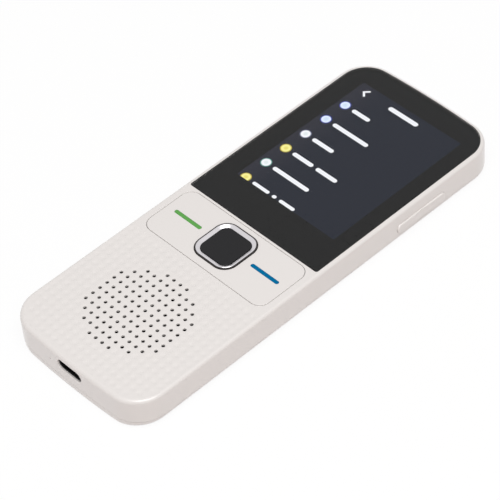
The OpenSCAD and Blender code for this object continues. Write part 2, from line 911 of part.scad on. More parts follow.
module speaker_gasket() {
    color("#404145") difference() {
        disc(speaker_r, speaker_top, speaker_top + gasket_t);
        disc(speaker_r - speaker_rim, speaker_top - through, speaker_top + gasket_t + through);
    }
}

module grille_cloth() {
    color("#2c2c2e") disc(cloth_r, front_under - cloth_t, front_under - hair);
}

module microphone() {
    color("#c8b170")
        box(-mic_x - mic_w / 2, -mic_x + mic_w / 2, mic_y, mic_y + mic_l, board_top, board_top + mic_h);
}

module microphone_boot() {
    wall_y = end_wall_y + side_wall + bow_drop(mic_x + boot_w / 2, body_w - 2 * side_wall, end_bow);
    color("#2b2b2d") difference() {
        box(
            -mic_x - boot_w / 2, -mic_x + boot_w / 2,
            wall_y + boot_gap, mic_y - boot_gap, board_top, board_top + boot_h
        );
        translate([-mic_x, end_wall_y, mic_z]) rotate([-90, 0, 0])
            cylinder(d = mic_hole_d, h = side_wall + 3 * through, $fn = mic_fn);
    }
}

// ---- Battery ----

module battery_cell() {
    color("#aeb3ba") translate([0, battery_foot_y + battery_l / 2, battery_z])
        rounded_block(battery_w, battery_l, battery_r, battery_t);
}

module battery_tape() {
    color("#d9c9a0") box(
        -battery_w / 2 + battery_tape_side, battery_w / 2 - battery_tape_side,
        battery_foot_y + battery_tape_end, battery_foot_y + battery_l - battery_tape_end,
        floor_t, battery_z
    );
}

module battery_leads() {
    lead_z = board_z - connector_h / 2;
    color("#b02a26") for (side = [-1, 1])
        translate([lead_x + side * lead_pitch / 2, board_end_y - lead_lap, lead_z]) rotate([-90, 0, 0])
            cylinder(r = lead_r, h = battery_foot_y - board_end_y + lead_lap, $fn = lead_fn);
}

module battery_connector() {
    color("#e8e4d8") translate([0, board_end_y - lead_lap - connector_l / 2, 0])
        chip(lead_x, 0, connector_w, connector_l, connector_h);
}

// ---- Volume rocker ----

module volume_rocker() {
    pad_z0 = rocker_z - rocker_w / 2;
    face_x = half_w + rocker_proud;
    color("#e4e0dd") {
        difference() {
            translate([rocker_back_x + rocker_back_t - sink, rocker_y, rocker_z])
                rotate([90, 0, 90]) rounded_block(
                    rocker_l, rocker_w, rocker_w / 2 - rocker_flat,
                    face_x - rocker_back_x - rocker_back_t + sink
                );
            translate([face_x + rocker_dip_r - rocker_dip, rocker_y, pad_z0 - through])
                cylinder(r = rocker_dip_r, h = rocker_w + 2 * through, $fn = dip_fn);
        }
        box(
            rocker_back_x, rocker_back_x + rocker_back_t,
            rocker_y - rocker_window_l / 2 - rocker_back_over,
            rocker_y + rocker_window_l / 2 + rocker_back_over,
            pad_z0, pad_z0 + rocker_w
        );
        translate([rocker_pin_x, rocker_y, rocker_z - rocker_window_w / 2 - lug_t])
            cylinder(r = rocker_pin_r, h = rocker_window_w + 2 * lug_t, $fn = bore_fn);
    }
}

module volume_switches() {
    color("#c9ccd0") for (side = [-1, 1]) translate([0, rocker_y + side * side_switch_y, 0]) box(
        side_board_x + side_board_t, side_board_x + side_board_t + side_switch_t,
        -side_switch_l / 2, side_switch_l / 2,
        rocker_z - side_switch_w / 2, rocker_z + side_switch_w / 2
    );
}

module side_board() {
    color("#1d5a37") box(
        side_board_x, side_board_x + side_board_t,
        rocker_y - side_board_l / 2, rocker_y + side_board_l / 2,
        side_board_z, side_board_z + side_board_h
    );
}

module wifi_antenna() {
    color("#c07a2c") box(
        -wall_inner_x + antenna_gap, -wall_inner_x + antenna_gap + antenna_t,
        rocker_y - antenna_l / 2, rocker_y + antenna_l / 2,
        seam_z + lip_h + antenna_low, front_under - antenna_high
    );
}

// ---- Screws ----

module cover_screws() {
    color("#8f9296") for (spot = screw_spots) translate([spot[0], spot[1], head_recess]) difference() {
        union() {
            cylinder(r = screw_head_r, h = screw_head_h, $fn = bore_fn);
            cylinder(r = screw_r, h = screw_head_h + screw_l, $fn = bore_fn);
        }
        for (turn = [0, 90]) rotate([0, 0, turn])
            translate([-slot_l / 2, -slot_w / 2, -through]) cube([slot_l, slot_w, through + slot_depth]);
    }
}

front_housing();
rear_cover();
cover_lens();
lens_tape();
lcd_panel();
lcd_backlight();
lcd_flex();
lcd_connector();
key_plate();
green_mark();
blue_mark();
button_ring();
center_button();
left_switch();
center_switch();
right_switch();
main_board();
processor();
memory_chip();
power_chip();
chip_capacitors();
rf_shield();
usb_c_shell();
usb_c_tongue();
speaker_frame();
speaker_cone();
speaker_magnet();
speaker_gasket();
grille_cloth();
microphone();
microphone_boot();
battery_cell();
battery_tape();
battery_leads();
battery_connector();
volume_rocker();
volume_switches();
side_board();
wifi_antenna();
cover_screws();
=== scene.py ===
"""Handheld translator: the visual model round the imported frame.

Metres: z = 0 is the flat rear face, +Z points out of the front face, +Y to the display end
and +X to the volume rocker. Sizes are written in millimetres times MM, or read from the frame.
"""

import json
import math

import bmesh
import bpy
from mathutils import Matrix, Vector


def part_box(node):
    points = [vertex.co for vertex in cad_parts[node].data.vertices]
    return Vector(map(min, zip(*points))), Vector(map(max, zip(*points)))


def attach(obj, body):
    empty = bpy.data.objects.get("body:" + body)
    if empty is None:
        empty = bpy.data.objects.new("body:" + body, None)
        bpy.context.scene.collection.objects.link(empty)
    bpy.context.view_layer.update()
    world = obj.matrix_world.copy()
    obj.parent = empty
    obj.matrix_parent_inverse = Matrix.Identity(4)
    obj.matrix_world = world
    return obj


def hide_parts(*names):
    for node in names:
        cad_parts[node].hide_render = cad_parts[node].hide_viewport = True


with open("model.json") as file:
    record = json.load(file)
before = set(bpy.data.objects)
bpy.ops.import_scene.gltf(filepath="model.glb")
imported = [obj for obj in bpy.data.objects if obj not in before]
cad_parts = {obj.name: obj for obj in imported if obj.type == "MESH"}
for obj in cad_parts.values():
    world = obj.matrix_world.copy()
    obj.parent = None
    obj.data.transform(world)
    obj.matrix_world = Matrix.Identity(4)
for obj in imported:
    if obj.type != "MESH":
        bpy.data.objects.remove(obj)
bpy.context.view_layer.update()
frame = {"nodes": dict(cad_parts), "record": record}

MM = 0.001

# ---- Sizes, from the frame or as the part's source gives them ----

housing_low, housing_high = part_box("front_housing")
lens_low, lens_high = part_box("cover_lens")
plate_low, plate_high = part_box("key_plate")
ring_low, ring_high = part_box("button_ring")
cap_low, cap_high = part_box("center_button")
panel_low, panel_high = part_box("lcd_panel")
rocker_low, rocker_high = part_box("volume_rocker")
port_low, port_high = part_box("usb_c_shell")
tongue_low, tongue_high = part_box("usb_c_tongue")
screws_low, screws_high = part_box("cover_screws")
cloth_low, cloth_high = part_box("grille_cloth")
green_low, green_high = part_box("green_mark")
blue_low, blue_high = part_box("blue_mark")
mic_low, mic_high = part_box("microphone")

BODY_T = lens_high.z
BODY_W = 2 * housing_high.x
HALF_L = housing_high.y
CORNER_R = 9.4 * MM
END_BOW = 1.0 * MM
FRONT_SIDE_R = 0.9 * MM
FRONT_END_R = 1.3 * MM
REAR_SIDE_R = 2.8 * MM
REAR_END_R = 1.0 * MM
SIDE_WALL = 1.5 * MM
FRONT_WALL = 1.6 * MM
COVER_T = 1.4 * MM
SEAM_GAP = 0.1 * MM
SEAM_Z = housing_low.z
FRONT_UNDER = BODY_T - FRONT_WALL

LENS_TOP_R = 8.1 * MM
LENS_FOOT_R = 0.6 * MM
LENS_LEAST_R = 0.05 * MM
LENS_EDGE_R = 0.12 * MM
LENS_CLEARANCE = 0.08 * MM
LEDGE_Z = panel_high.z
PANEL_CLEARANCE = 0.2 * MM
PANEL_R = 0.8 * MM
PANEL_Y = (panel_low.y + panel_high.y) / 2

PLATE_T = 1.3 * MM
PLATE_L = 18.0 * MM
PLATE_R = 3.3 * MM
PLATE_GAP = 0.13 * MM
PLATE_Y = (plate_low.y + plate_high.y) / 2
PLATE_W = plate_high.x - plate_low.x
RING_R = 4.1 * MM
RING_GAP = 0.15 * MM
RING_SIZE = ring_high.x - ring_low.x
KEY_Y = (ring_low.y + ring_high.y) / 2
CAP_SIZE = 11.0 * MM
CAP_R = 2.4 * MM
FLANGE_T = 0.7 * MM
PIVOT_R = 0.5 * MM
PIVOT_Z = FRONT_UNDER - PIVOT_R
SIDE_SWITCH_TOP_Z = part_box("left_switch")[1].z
SIDE_KEY_GAP = 0.3 * MM

GRILLE_Y = (cloth_low.y + cloth_high.y) / 2
GRILLE_PITCH = 2.46 * MM
GRILLE_HALF = 6
GRILLE_R = 0.5 * MM

ROCKER_Y = (rocker_low.y + rocker_high.y) / 2
ROCKER_Z = (rocker_low.z + rocker_high.z) / 2
ROCKER_L = 18.0 * MM
ROCKER_W = 3.0 * MM
ROCKER_FLAT = 0.4 * MM
ROCKER_CLEARANCE = 0.05 * MM

PORT_Z = (port_low.z + port_high.z) / 2
PORT_CLEARANCE = 0.06 * MM
MIC_X = (mic_low.x + mic_high.x) / 2
MIC_Z = (mic_low.z + mic_high.z) / 2
MIC_R = 0.45 * MM

SCREW_HEAD_R = 1.3 * MM
SCREW_HOLE_R = 1.45 * MM
SCREW_HOLE_H = 0.85 * MM
SCREW_HIGH_X = 11.0 * MM

# How far a cutter runs past what it cuts, and joined pieces run into each other
THROUGH = 1.0 * MM
OVERLAP = 0.1 * MM

# ---- Outlines ----


def arc(cx, cy, r, start, end, steps):
    """Points of an arc, angles in degrees, both ends included."""
    angles = [math.radians(start + (end - start) * i / steps) for i in range(steps + 1)]
    return [(cx + r * math.cos(a), cy + r * math.sin(a)) for a in angles]


def circle(cx, cy, r, count):
    """Points of a full circle, without the one that would repeat its start."""
    return arc(cx, cy, r, 0, 360 - 360 / count, count - 1)


def bow_drop(x, width, bow):
    """How far a bowed end lies back from its middle, at x."""
    return bow * (2 * x / width) ** 2


def bowed_end(width, r, bow):
    """Centre of a corner, the angle at which the bowed end meets it, and where they meet."""
    centre = width / 2 - r
    angle = math.degrees(math.atan(8 * bow * centre / (width * width)))
    return centre, angle, centre + r * math.sin(math.radians(angle))


def outline(width, y0, y1, r0, r1, bow0=0.0, bow1=0.0, corner=14, ends=24):
    """Counter-clockwise outline with ends that bow outward.

    The corners have radius r0 at the low-y end and r1 at the high-y end.
    """
    points = []
    low = bowed_end(width, r0, bow0)
    high = bowed_end(width, r1, bow1)
    low_y = y0 + bow_drop(low[2], width, bow0) + r0 * math.cos(math.radians(low[1]))
    high_y = y1 - bow_drop(high[2], width, bow1) - r1 * math.cos(math.radians(high[1]))
    points += arc(low[0], low_y, r0, -90 + low[1], 0, corner)
    points += arc(high[0], high_y, r1, 0, 90 - high[1], corner)
    for i in range(1, ends):
        x = high[2] * (1 - 2 * i / ends)
        points.append((x, y1 - bow_drop(x, width, bow1)))
    points += arc(-high[0], high_y, r1, 90 + high[1], 180, corner)
    points += arc(-low[0], low_y, r0, 180, 270 - low[1], corner)
    for i in range(1, ends):
        x = -low[2] * (1 - 2 * i / ends)
        points.append((x, y0 + bow_drop(x, width, bow0)))
    return points


def rect_outline(width, length, r, cx=0.0, cy=0.0, corner=12):
    """A rounded rectangle, corner steps to each of its corners."""
    points = outline(width, cy - length / 2, cy + length / 2, r, r, corner=corner, ends=1)
    return [(x + cx, y) for x, y in points]


def pill_outline(width, height, cx, cy, corner=12):
    """An outline with round ends, which keep a very short flat between their corners."""
    flat = 0.01 * MM
    return rect_outline(width, height, height / 2 - flat, cx, cy, corner)


def body_outline(side, end):
    """The body's outline, set in at its sides and its ends."""
    r = CORNER_R - (side + end) / 2
    return outline(BODY_W - 2 * side, -HALF_L + end, HALF_L - end, r, r, END_BOW, END_BOW)


def lens_outline(grow):
    """The lens's outline, let out by grow."""
    return outline(
        lens_high.x - lens_low.x + 2 * grow, lens_low.y - grow, lens_high.y + grow,
        max(LENS_FOOT_R + grow, LENS_LEAST_R), LENS_TOP_R + grow, 0.0, END_BOW,
    )


def plate_outline(inset):
    """The key plate's outline, set in by inset."""
    return rect_outline(PLATE_W - 2 * inset, PLATE_L - 2 * inset, PLATE_R - inset, 0.0, PLATE_Y)


def key_square(size, r, corner=12):
    """A function that gives the outline, at an inset, of a rounded square about the centre key."""
    def outline_at(inset):
        return rect_outline(size - 2 * inset, size - 2 * inset, r - inset, 0.0, KEY_Y, corner)

    return outline_at


def edge_inset(r, depth):
    """Inset of a rounded edge of radius r, at a depth from the face that it rounds."""
    return r - math.sqrt(r * r - (r - depth) ** 2) if depth < r else 0.0


def rounded_levels(z0, z1, r, steps=5):
    """(z, inset) pairs of a prism whose upper edge has radius r."""
    levels = [(z0, 0.0)]
    for i in range(steps + 1):
        angle = math.radians(90 * i / steps)
        levels.append((z1 - r * (1 - math.sin(angle)), r * (1 - math.cos(angle))))
    return levels


# ---- Mesh helpers ----


def finished(name, bm):
    """The object that a bmesh describes."""
    mesh = bpy.data.meshes.new(name)
    bm.to_mesh(mesh)
    bm.free()
    thing = bpy.data.objects.new(name, mesh)
    bpy.context.scene.collection.objects.link(thing)
    return thing


def discard(thing):
    """Removes an object with its mesh."""
    mesh = thing.data
    bpy.data.objects.remove(thing)
    bpy.data.meshes.remove(mesh)


def loft(name, rings, closed=False):
    """A solid through rings that all have the same number of points.

    A closed one runs on from the last ring to the first. Any other is capped at both.
    """
    bm = bmesh.new()
    loops = [[bm.verts.new(p) for p in ring] for ring in rings]
    count = len(rings[0])
    following = loops[1:] + loops[:1] if closed else loops[1:]
    for low, high in zip(loops, following):
        for i in range(count):
            j = (i + 1) % count
            bm.faces.new((low[i], low[j], high[j], high[i]))
    if not closed:
        bm.faces.new(list(reversed(loops[0])))
        bm.faces.new(loops[-1])
    bmesh.ops.recalc_face_normals(bm, faces=bm.faces)
    return finished(name, bm)


def level_rings(outline_at, levels):
    """Rings of outline_at(inset) at each (z, inset) level."""
    return [[(x, y, z) for x, y in outline_at(inset)] for z, inset in levels]


def prism(name, points, z0, z1):
    return loft(name, [[(x, y, z) for x, y in points] for z in (z0, z1)])


def cylinder(name, centre, r, axis, length, steps=32):
    """A cylinder from centre along axis, which is y or z."""
    x, y, z = centre
    ring = [(r * c, r * s) for c, s in circle(0, 0, 1, steps)]
    if axis == "y":
        rings = [[(x + v, y + reach, z + u) for u, v in ring] for reach in (0.0, length)]
    else:
        rings = [[(x + u, y + v, z + reach) for u, v in ring] for reach in (0.0, length)]
    return loft(name, rings)


def box(name, low, high):
    corners = [(low[0], low[1]), (high[0], low[1]), (high[0], high[1]), (low[0], high[1])]
    return prism(name, corners, low[2], high[2])


def merged(name, pieces):
    """One object that holds the meshes of several, which are removed."""
    bm = bmesh.new()
    for piece in pieces:
        bm.from_mesh(piece.data)
        discard(piece)
    return finished(name, bm)


def bake(piece):
    """Turns what the modifiers give into the piece's own mesh."""
    bpy.context.view_layer.update()
    depsgraph = bpy.context.evaluated_depsgraph_get()
    mesh = bpy.data.meshes.new_from_object(piece.evaluated_get(depsgraph))
    old = piece.data
    piece.modifiers.clear()
    piece.data = mesh
    bpy.data.meshes.remove(old)


def boolean(piece, tool, operation):
    """Applies a boolean to piece and removes the tool."""
    modifier = piece.modifiers.new("boolean", "BOOLEAN")
    modifier.operation = operation
    modifier.solver = "MANIFOLD"
    modifier.object = tool
    bake(piece)
    discard(tool)
    return piece


def cut(piece, *tools):
    for tool in tools:
        boolean(piece, tool, "DIFFERENCE")
    return piece


def join(piece, *tools):
    for tool in tools:
        boolean(piece, tool, "UNION")
    return piece


# Edges that turn by more than this many degrees stay sharp
SHARP = 24
FLAT_SHARP = 28
RING_SHARP = 20
PORT_SHARP = 30


def shade(piece, angle=SHARP):
    """Smooth shading with sharp edges above an angle."""
    mesh = piece.data
    mesh.shade_smooth()
    mesh.set_sharp_from_angle(angle=math.radians(angle))
    weighted = piece.modifiers.new("weighted", "WEIGHTED_NORMAL")
    weighted.keep_sharp = True
    weighted.weight = 100
    bake(piece)
    return piece


def place(piece, body, material, slot, *nodes):
    """Gives a piece its material and its body, and hides the nodes that it stands for; slot is not
    used.
    """
    piece.data.materials.clear()
    piece.data.materials.append(material)
    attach(piece, body)
    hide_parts(*nodes)


# ---- Materials ----

COAT_ROUGHNESS = 0.30
COAT_IOR = 1.5
ROUGH_SPREAD = 0.06
LEAST_ROUGHNESS = 0.02
CLOUD_SIZE = 30 * MM
SMUDGE_SIZE = 9 * MM
SMUDGE_ROUGHNESS = 0.02

# Lower than bare glass, as a coated lens reflects less
GLASS_IOR = 1.36

# Where the display's edge colour ends and its main colour starts
FADE_FROM_X = -18 * MM
FADE_TO_X = -9 * MM

WHITE = (1, 1, 1, 1)
BLACK = (0, 0, 0, 1)


def srgb(r, g, b):
    """Linear colour of an sRGB one given as 0 to 255."""
    linear = []
    for c in (r, g, b):
        c = c / 255
        linear.append(c / 12.92 if c <= 0.04045 else ((c + 0.055) / 1.055) ** 2.4)
    return (*linear, 1.0)


def shader(name):
    """A new material, its tree and its surface shader."""
    material = bpy.data.materials.new(name)
    material.use_nodes = True
    return material, material.node_tree, material.node_tree.nodes["Principled BSDF"]


def noise(tree, size, detail):
    """The output of a noise with lumps of a given size, fixed to the object."""
    spot = tree.nodes.new("ShaderNodeTexCoord")
    lumps = tree.nodes.new("ShaderNodeTexNoise")
    lumps.inputs["Scale"].default_value = 1 / size
    lumps.inputs["Detail"].default_value = detail
    tree.links.new(spot.outputs["Object"], lumps.inputs["Vector"])
    return lumps.outputs["Fac"]


def remap(tree, value, low, high):
    """A 0 to 1 output spread over low to high."""
    node = tree.nodes.new("ShaderNodeMapRange")
    node.inputs["To Min"].default_value = low
    node.inputs["To Max"].default_value = high
    tree.links.new(value, node.inputs["Value"])
    return node.outputs["Result"]


def blend(tree, share, low, high):
    """A colour between low and high, by the output share."""
    node = tree.nodes.new("ShaderNodeMix")
    node.data_type = "RGBA"
    node.inputs["A"].default_value = low
    node.inputs["B"].default_value = high
    tree.links.new(share, node.inputs["Factor"])
    return node.outputs["Result"]


def grained(
    name, colour, roughness, grain, depth, spread=0.03, metallic=0.0, coat=0.0, specular=0.5
):
    """A surface with a fine grain.

    grain is the size of its lumps, depth their height and spread how far the colour wanders.
    """
    material, tree, surface = shader(name)
    links = tree.links
    lumps = noise(tree, grain, detail=3)
    cloud = noise(tree, CLOUD_SIZE, detail=2)
    dark = [c * (1 - spread) for c in colour[:3]] + [1]
    light = [min(1, c * (1 + spread)) for c in colour[:3]] + [1]
    links.new(blend(tree, cloud, dark, light), surface.inputs["Base Color"])
    least = max(LEAST_ROUGHNESS, roughness - ROUGH_SPREAD)
    links.new(remap(tree, lumps, least, roughness + ROUGH_SPREAD), surface.inputs["Roughness"])
    bump = tree.nodes.new("ShaderNodeBump")
    bump.inputs["Distance"].default_value = depth
    bump.inputs["Strength"].default_value = 1.0
    links.new(lumps, bump.inputs["Height"])
    links.new(bump.outputs["Normal"], surface.inputs["Normal"])
    surface.inputs["Metallic"].default_value = metallic
    surface.inputs["Specular IOR Level"].default_value = specular
    surface.inputs["Coat Weight"].default_value = coat
    surface.inputs["Coat Roughness"].default_value = COAT_ROUGHNESS
    surface.inputs["Coat IOR"].default_value = COAT_IOR
    return material


def glowing(name, colour, edge_colour=None):
    """A lit part of the display, which may change colour towards its left edge."""
    material, tree, surface = shader(name)
    surface.inputs["Base Color"].default_value = BLACK
    surface.inputs["Roughness"].default_value = 0.6
    surface.inputs["Specular IOR Level"].default_value = 0.0
    surface.inputs["Emission Color"].default_value = colour
    surface.inputs["Emission Strength"].default_value = 1.0
    if edge_colour:
        nodes, links = tree.nodes, tree.links
        spot = nodes.new("ShaderNodeTexCoord")
        split = nodes.new("ShaderNodeSeparateXYZ")
        links.new(spot.outputs["Object"], split.inputs[0])
        fade = nodes.new("ShaderNodeMapRange")
        fade.interpolation_type = "SMOOTHSTEP"
        fade.inputs["From Min"].default_value = FADE_FROM_X
        fade.inputs["From Max"].default_value = FADE_TO_X
        links.new(split.outputs["X"], fade.inputs["Value"])
        faded = blend(tree, fade.outputs["Result"], edge_colour, colour)
        links.new(faded, surface.inputs["Emission Color"])
    return material


def glass(name):
    """Clear glass, polished but for faint smudges."""
    material, tree, surface = shader(name)
    surface.inputs["Base Color"].default_value = WHITE
    surface.inputs["IOR"].default_value = GLASS_IOR
    surface.inputs["Transmission Weight"].default_value = 1.0
    smudges = noise(tree, SMUDGE_SIZE, detail=3)
    tree.links.new(remap(tree, smudges, 0.0, SMUDGE_ROUGHNESS), surface.inputs["Roughness"])
    return material


PEARL = srgb(225, 221, 218)

shell_plastic = grained(
    "shell_plastic", PEARL, 0.34, 0.12 * MM, 0.0012 * MM, spread=0.012, coat=1.0
)
key_plastic = grained("key_plastic", PEARL, 0.30, 0.12 * MM, 0.0008 * MM, spread=0.010, coat=1.0)
cap_plastic = grained(
    "cap_plastic", srgb(30, 30, 32), 0.34, 0.10 * MM, 0.001 * MM, spread=0.05, specular=0.16
)
# The collar's dark grey is painted shade, standing in for the shadow in the gap round the ring
collar_painted_shade = grained(
    "collar_painted_shade", srgb(46, 42, 41), 0.5, 0.10 * MM, 0.002 * MM, spread=0.05, specular=0.3
)
print_black = grained("print_black", srgb(6, 6, 7), 0.6, 0.3 * MM, 0.0, spread=0.02, specular=0.0)
lens_glass = glass("lens_glass")
ring_metal = grained(
    "ring_metal", srgb(212, 209, 212), 0.22, 0.15 * MM, 0.0004 * MM, spread=0.01, metallic=1.0
)
green_paint = grained("green_paint", srgb(98, 164, 84), 0.5, 0.2 * MM, 0.001 * MM, specular=0.04)
blue_paint = grained("blue_paint", srgb(2, 106, 154), 0.5, 0.2 * MM, 0.001 * MM, specular=0.02)
port_metal = grained("port_metal", srgb(58, 57, 58), 0.4, 0.1 * MM, 0.001 * MM, metallic=1.0)
port_plastic = grained("port_plastic", srgb(18, 18, 19), 0.5, 0.1 * MM, 0.001 * MM)

# Slots of the inner nodes: colour, roughness, grain size and depth in millimetres, and the rest
INNER_SLOTS = {
    "display_glass": ((20, 22, 28), 0.1, 4, 0.0, {"spread": 0.08}),
    "adhesive_black": ((16, 16, 16), 0.8, 0.3, 0.004, {}),
    "backlight_white": ((220, 222, 224), 0.5, 0.5, 0.002, {}),
    "flex_amber": ((176, 104, 32), 0.35, 0.6, 0.002, {"spread": 0.08}),
    "switch_steel": ((186, 188, 190), 0.3, 0.1, 0.002, {"metallic": 1.0}),
    "board_green": ((18, 84, 50), 0.35, 0.8, 0.006, {"spread": 0.12}),
    "chip_black": ((30, 31, 33), 0.55, 0.1, 0.004, {"spread": 0.08}),
    "ceramic_tan": ((164, 128, 86), 0.45, 0.1, 0.003, {"spread": 0.1}),
    "shield_steel": ((176, 178, 180), 0.36, 0.2, 0.003, {"metallic": 1.0}),
    "speaker_black": ((40, 41, 44), 0.5, 0.2, 0.004, {}),
    "cone_paper": ((24, 24, 26), 0.8, 0.15, 0.02, {"spread": 0.15}),
    "magnet_steel": ((150, 152, 156), 0.3, 0.2, 0.002, {"metallic": 1.0}),
    "foam_black": ((42, 42, 44), 0.9, 0.12, 0.03, {"spread": 0.1}),
    "cloth_black": ((20, 19, 20), 0.9, 0.08, 0.02, {"spread": 0.1}),
    "mic_gold": ((196, 170, 98), 0.3, 0.1, 0.002, {"metallic": 1.0}),
    "battery_foil": ((170, 175, 182), 0.4, 0.8, 0.01, {"metallic": 0.9}),
    "tape_tan": ((212, 198, 158), 0.8, 0.2, 0.006, {"spread": 0.06}),
    "lead_red": ((170, 34, 28), 0.45, 0.3, 0.003, {}),
    "connector_ivory": ((228, 222, 204), 0.45, 0.2, 0.002, {}),
    "screw_steel": ((140, 142, 146), 0.32, 0.1, 0.003, {"metallic": 1.0}),
}
SLOT_LOOKS = {"port_steel": port_metal, "port_black": port_plastic}
for slot, (colour, roughness, grain, depth, more) in INNER_SLOTS.items():
    SLOT_LOOKS[slot] = grained(slot, srgb(*colour), roughness, grain * MM, depth * MM, **more)

for entry in frame["record"]["subparts"]:
    look = SLOT_LOOKS.get(entry["material_slot"])
    if look:
        node_mesh = frame["nodes"][entry["node"]].data
        node_mesh.materials.clear()
        node_mesh.materials.append(look)

# ---- Relief: one shallow dimple to each cell of the grille's lattice ----

RELIEF_TOP_Y = PLATE_Y - PLATE_L / 2 - 1.3 * MM
RELIEF_H = 0.2 * MM
RELIEF_R = 1.22 * MM
RELIEF_SPLIT = 8
RELIEF_STEP = GRILLE_PITCH / RELIEF_SPLIT
RELIEF_FADE = 1.2 * MM

# The cutter shaves this much off the whole face, and reaches this far above it
RELIEF_SHAVE = 0.004 * MM
RELIEF_ROOM = 0.5 * MM

# Grid steps that the cutter reaches past the flat face
RELIEF_SPARE = 2


def relief_cutter():
    """What lies over the dimpled lower front, as a solid to cut away."""
    columns = int((BODY_W / 2 - FRONT_SIDE_R) / RELIEF_STEP) + RELIEF_SPARE
    first_row = int((GRILLE_Y - RELIEF_TOP_Y) / RELIEF_STEP) - RELIEF_SPARE
    last_row = int((GRILLE_Y + HALF_L) / RELIEF_STEP) + RELIEF_SPARE
    bm = bmesh.new()
    grid = {}
    for j in range(first_row, last_row + 1):
        for i in range(-columns, columns + 1):
            x, y = i * RELIEF_STEP, GRILLE_Y - j * RELIEF_STEP
            grid[i, j] = bm.verts.new((x, y, BODY_T - RELIEF_SHAVE - relief_depth(x, y)))
    for j in range(first_row, last_row):
        for i in range(-columns, columns):
            bm.faces.new((grid[i, j], grid[i + 1, j], grid[i + 1, j + 1], grid[i, j + 1]))
    skirt = bmesh.ops.extrude_edge_only(bm, edges=[e for e in bm.edges if e.is_boundary])
    for vert in [v for v in skirt["geom"] if isinstance(v, bmesh.types.BMVert)]:
        vert.co.z = BODY_T + RELIEF_ROOM
    bmesh.ops.contextual_create(bm, geom=[e for e in bm.edges if e.is_boundary])
    bmesh.ops.recalc_face_normals(bm, faces=bm.faces)
    limit = prism("relief_limit", relief_outline(), BODY_T - RELIEF_ROOM, BODY_T + THROUGH)
    return boolean(finished("relief_cutter", bm), limit, "INTERSECT")


def relief_outline():
    """The flat front's outline below the relief's upper line."""
    side, end = FRONT_SIDE_R, FRONT_END_R
    flat = outline(
        BODY_W - 2 * side, end - HALF_L, HALF_L, CORNER_R - end, CORNER_R, END_BOW, END_BOW
    )
    below = [p for p in flat if p[1] < RELIEF_TOP_Y]
    below.sort(key=lambda p: math.atan2(p[0], RELIEF_TOP_Y - p[1]))
    edge = BODY_W / 2 - side
    return [(-edge, RELIEF_TOP_Y)] + below + [(edge, RELIEF_TOP_Y)]


def relief_depth(x, y):
    """Depth of the dimples, which fade out towards the edges of the flat face."""
    u = (x / GRILLE_PITCH) % 1.0 - 0.5
    v = ((y - GRILLE_Y) / GRILLE_PITCH) % 1.0 - 0.5
    reach = math.hypot(u, v) * GRILLE_PITCH / RELIEF_R
    if reach >= 1.0:
        return 0.0
    to_side = BODY_W / 2 - FRONT_SIDE_R - abs(x)
    to_end = y + HALF_L - FRONT_END_R - bow_drop(x, BODY_W, END_BOW)
    room = min(to_side, to_end, RELIEF_TOP_Y - y, corner_room(x, y))
    share = max(0.0, min(1.0, room / RELIEF_FADE))
    return RELIEF_H * share * (1 + math.cos(math.pi * reach)) / 2


def corner_room(x, y):
    """Distance from the rounded lower corners of the flat face."""
    dx = abs(x) - (BODY_W / 2 - CORNER_R)
    dy = (CORNER_R + END_BOW - HALF_L) - y
    if dx <= 0 or dy <= 0:
        return CORNER_R
    return CORNER_R - FRONT_END_R - math.hypot(dx, dy)


# ---- Shells ----

# The housing's rounded edge round the lens
LIP_W = 0.10 * MM
LIP_H = 0.08 * MM
LIP_STEPS = 6

PLATE_WINDOW_BEVEL = 0.08 * MM

# The front wall is thin behind the grille
GRILLE_WALL = 0.6 * MM
GRILLE_POCKET_R = 16.3 * MM
POCKET_STEPS = 120

# The grille's reach in cells, and how much tighter it is along the body than across
GRILLE_REACH = GRILLE_HALF + 0.2
GRILLE_SQUEEZE = 1.1

# Each hole widens near the front face, between these two depths
RIM_FROM = 0.18 * MM
RIM_TO = 0.10 * MM
RIM_W = 0.04 * MM
HOLE_STEPS = 24

# The rear cover's lip
COVER_LIP_GAP = 0.1 * MM
COVER_LIP_T = 0.8 * MM
COVER_LIP_H = 1.1 * MM
ROCKER_NOTCH_GAP = 1.0 * MM


def body_rings(z0, z1):
    """Rings of the body's outer skin between two heights, finer over its rounded edges."""
    steps = 10
    heights = {z0, z1}
    for i in range(steps + 1):
        share = 1 - math.cos(math.radians(90 * i / steps))
        for z in (REAR_SIDE_R * share, BODY_T - FRONT_END_R * share):
            if z0 < z < z1:
                heights.add(z)
    rings = []
    for z in sorted(heights):
        side = max(edge_inset(FRONT_SIDE_R, BODY_T - z), edge_inset(REAR_SIDE_R, z))
        end = max(edge_inset(FRONT_END_R, BODY_T - z), edge_inset(REAR_END_R, z))
        rings.append([(x, y, z) for x, y in body_outline(side, end)])
    return rings


def flared(name, outline_at, z0, z1, bevel):
    """A cutter that goes up through the front face and widens by bevel at its edge."""
    levels = [(z0, 0.0), (z1 - bevel, 0.0), (z1, -bevel), (z1 + THROUGH, -bevel)]
    return loft(name, level_rings(outline_at, levels))


def lip_levels():
    """Levels of the lens pocket's cutter, which rounds the housing's edge round the lens."""
    levels = [(LEDGE_Z, 0.0)]
    for i in range(LIP_STEPS + 1):
        angle = math.radians(90 * i / LIP_STEPS)
        levels.append((BODY_T - LIP_H * (1 - math.sin(angle)), -LIP_W * (1 - math.cos(angle))))
    return levels + [(BODY_T + THROUGH, -LIP_W)]


def grille_spots():
    """Middles of the grille's holes."""
    spots = []
    for i in range(2 * GRILLE_HALF):
        for j in range(2 * GRILLE_HALF):
            u = i - GRILLE_HALF + 0.5
            v = j - GRILLE_HALF + 0.5
            if u * u + GRILLE_SQUEEZE * v * v <= GRILLE_REACH ** 2:
                spots.append((u * GRILLE_PITCH, GRILLE_Y + v * GRILLE_PITCH))
    return spots


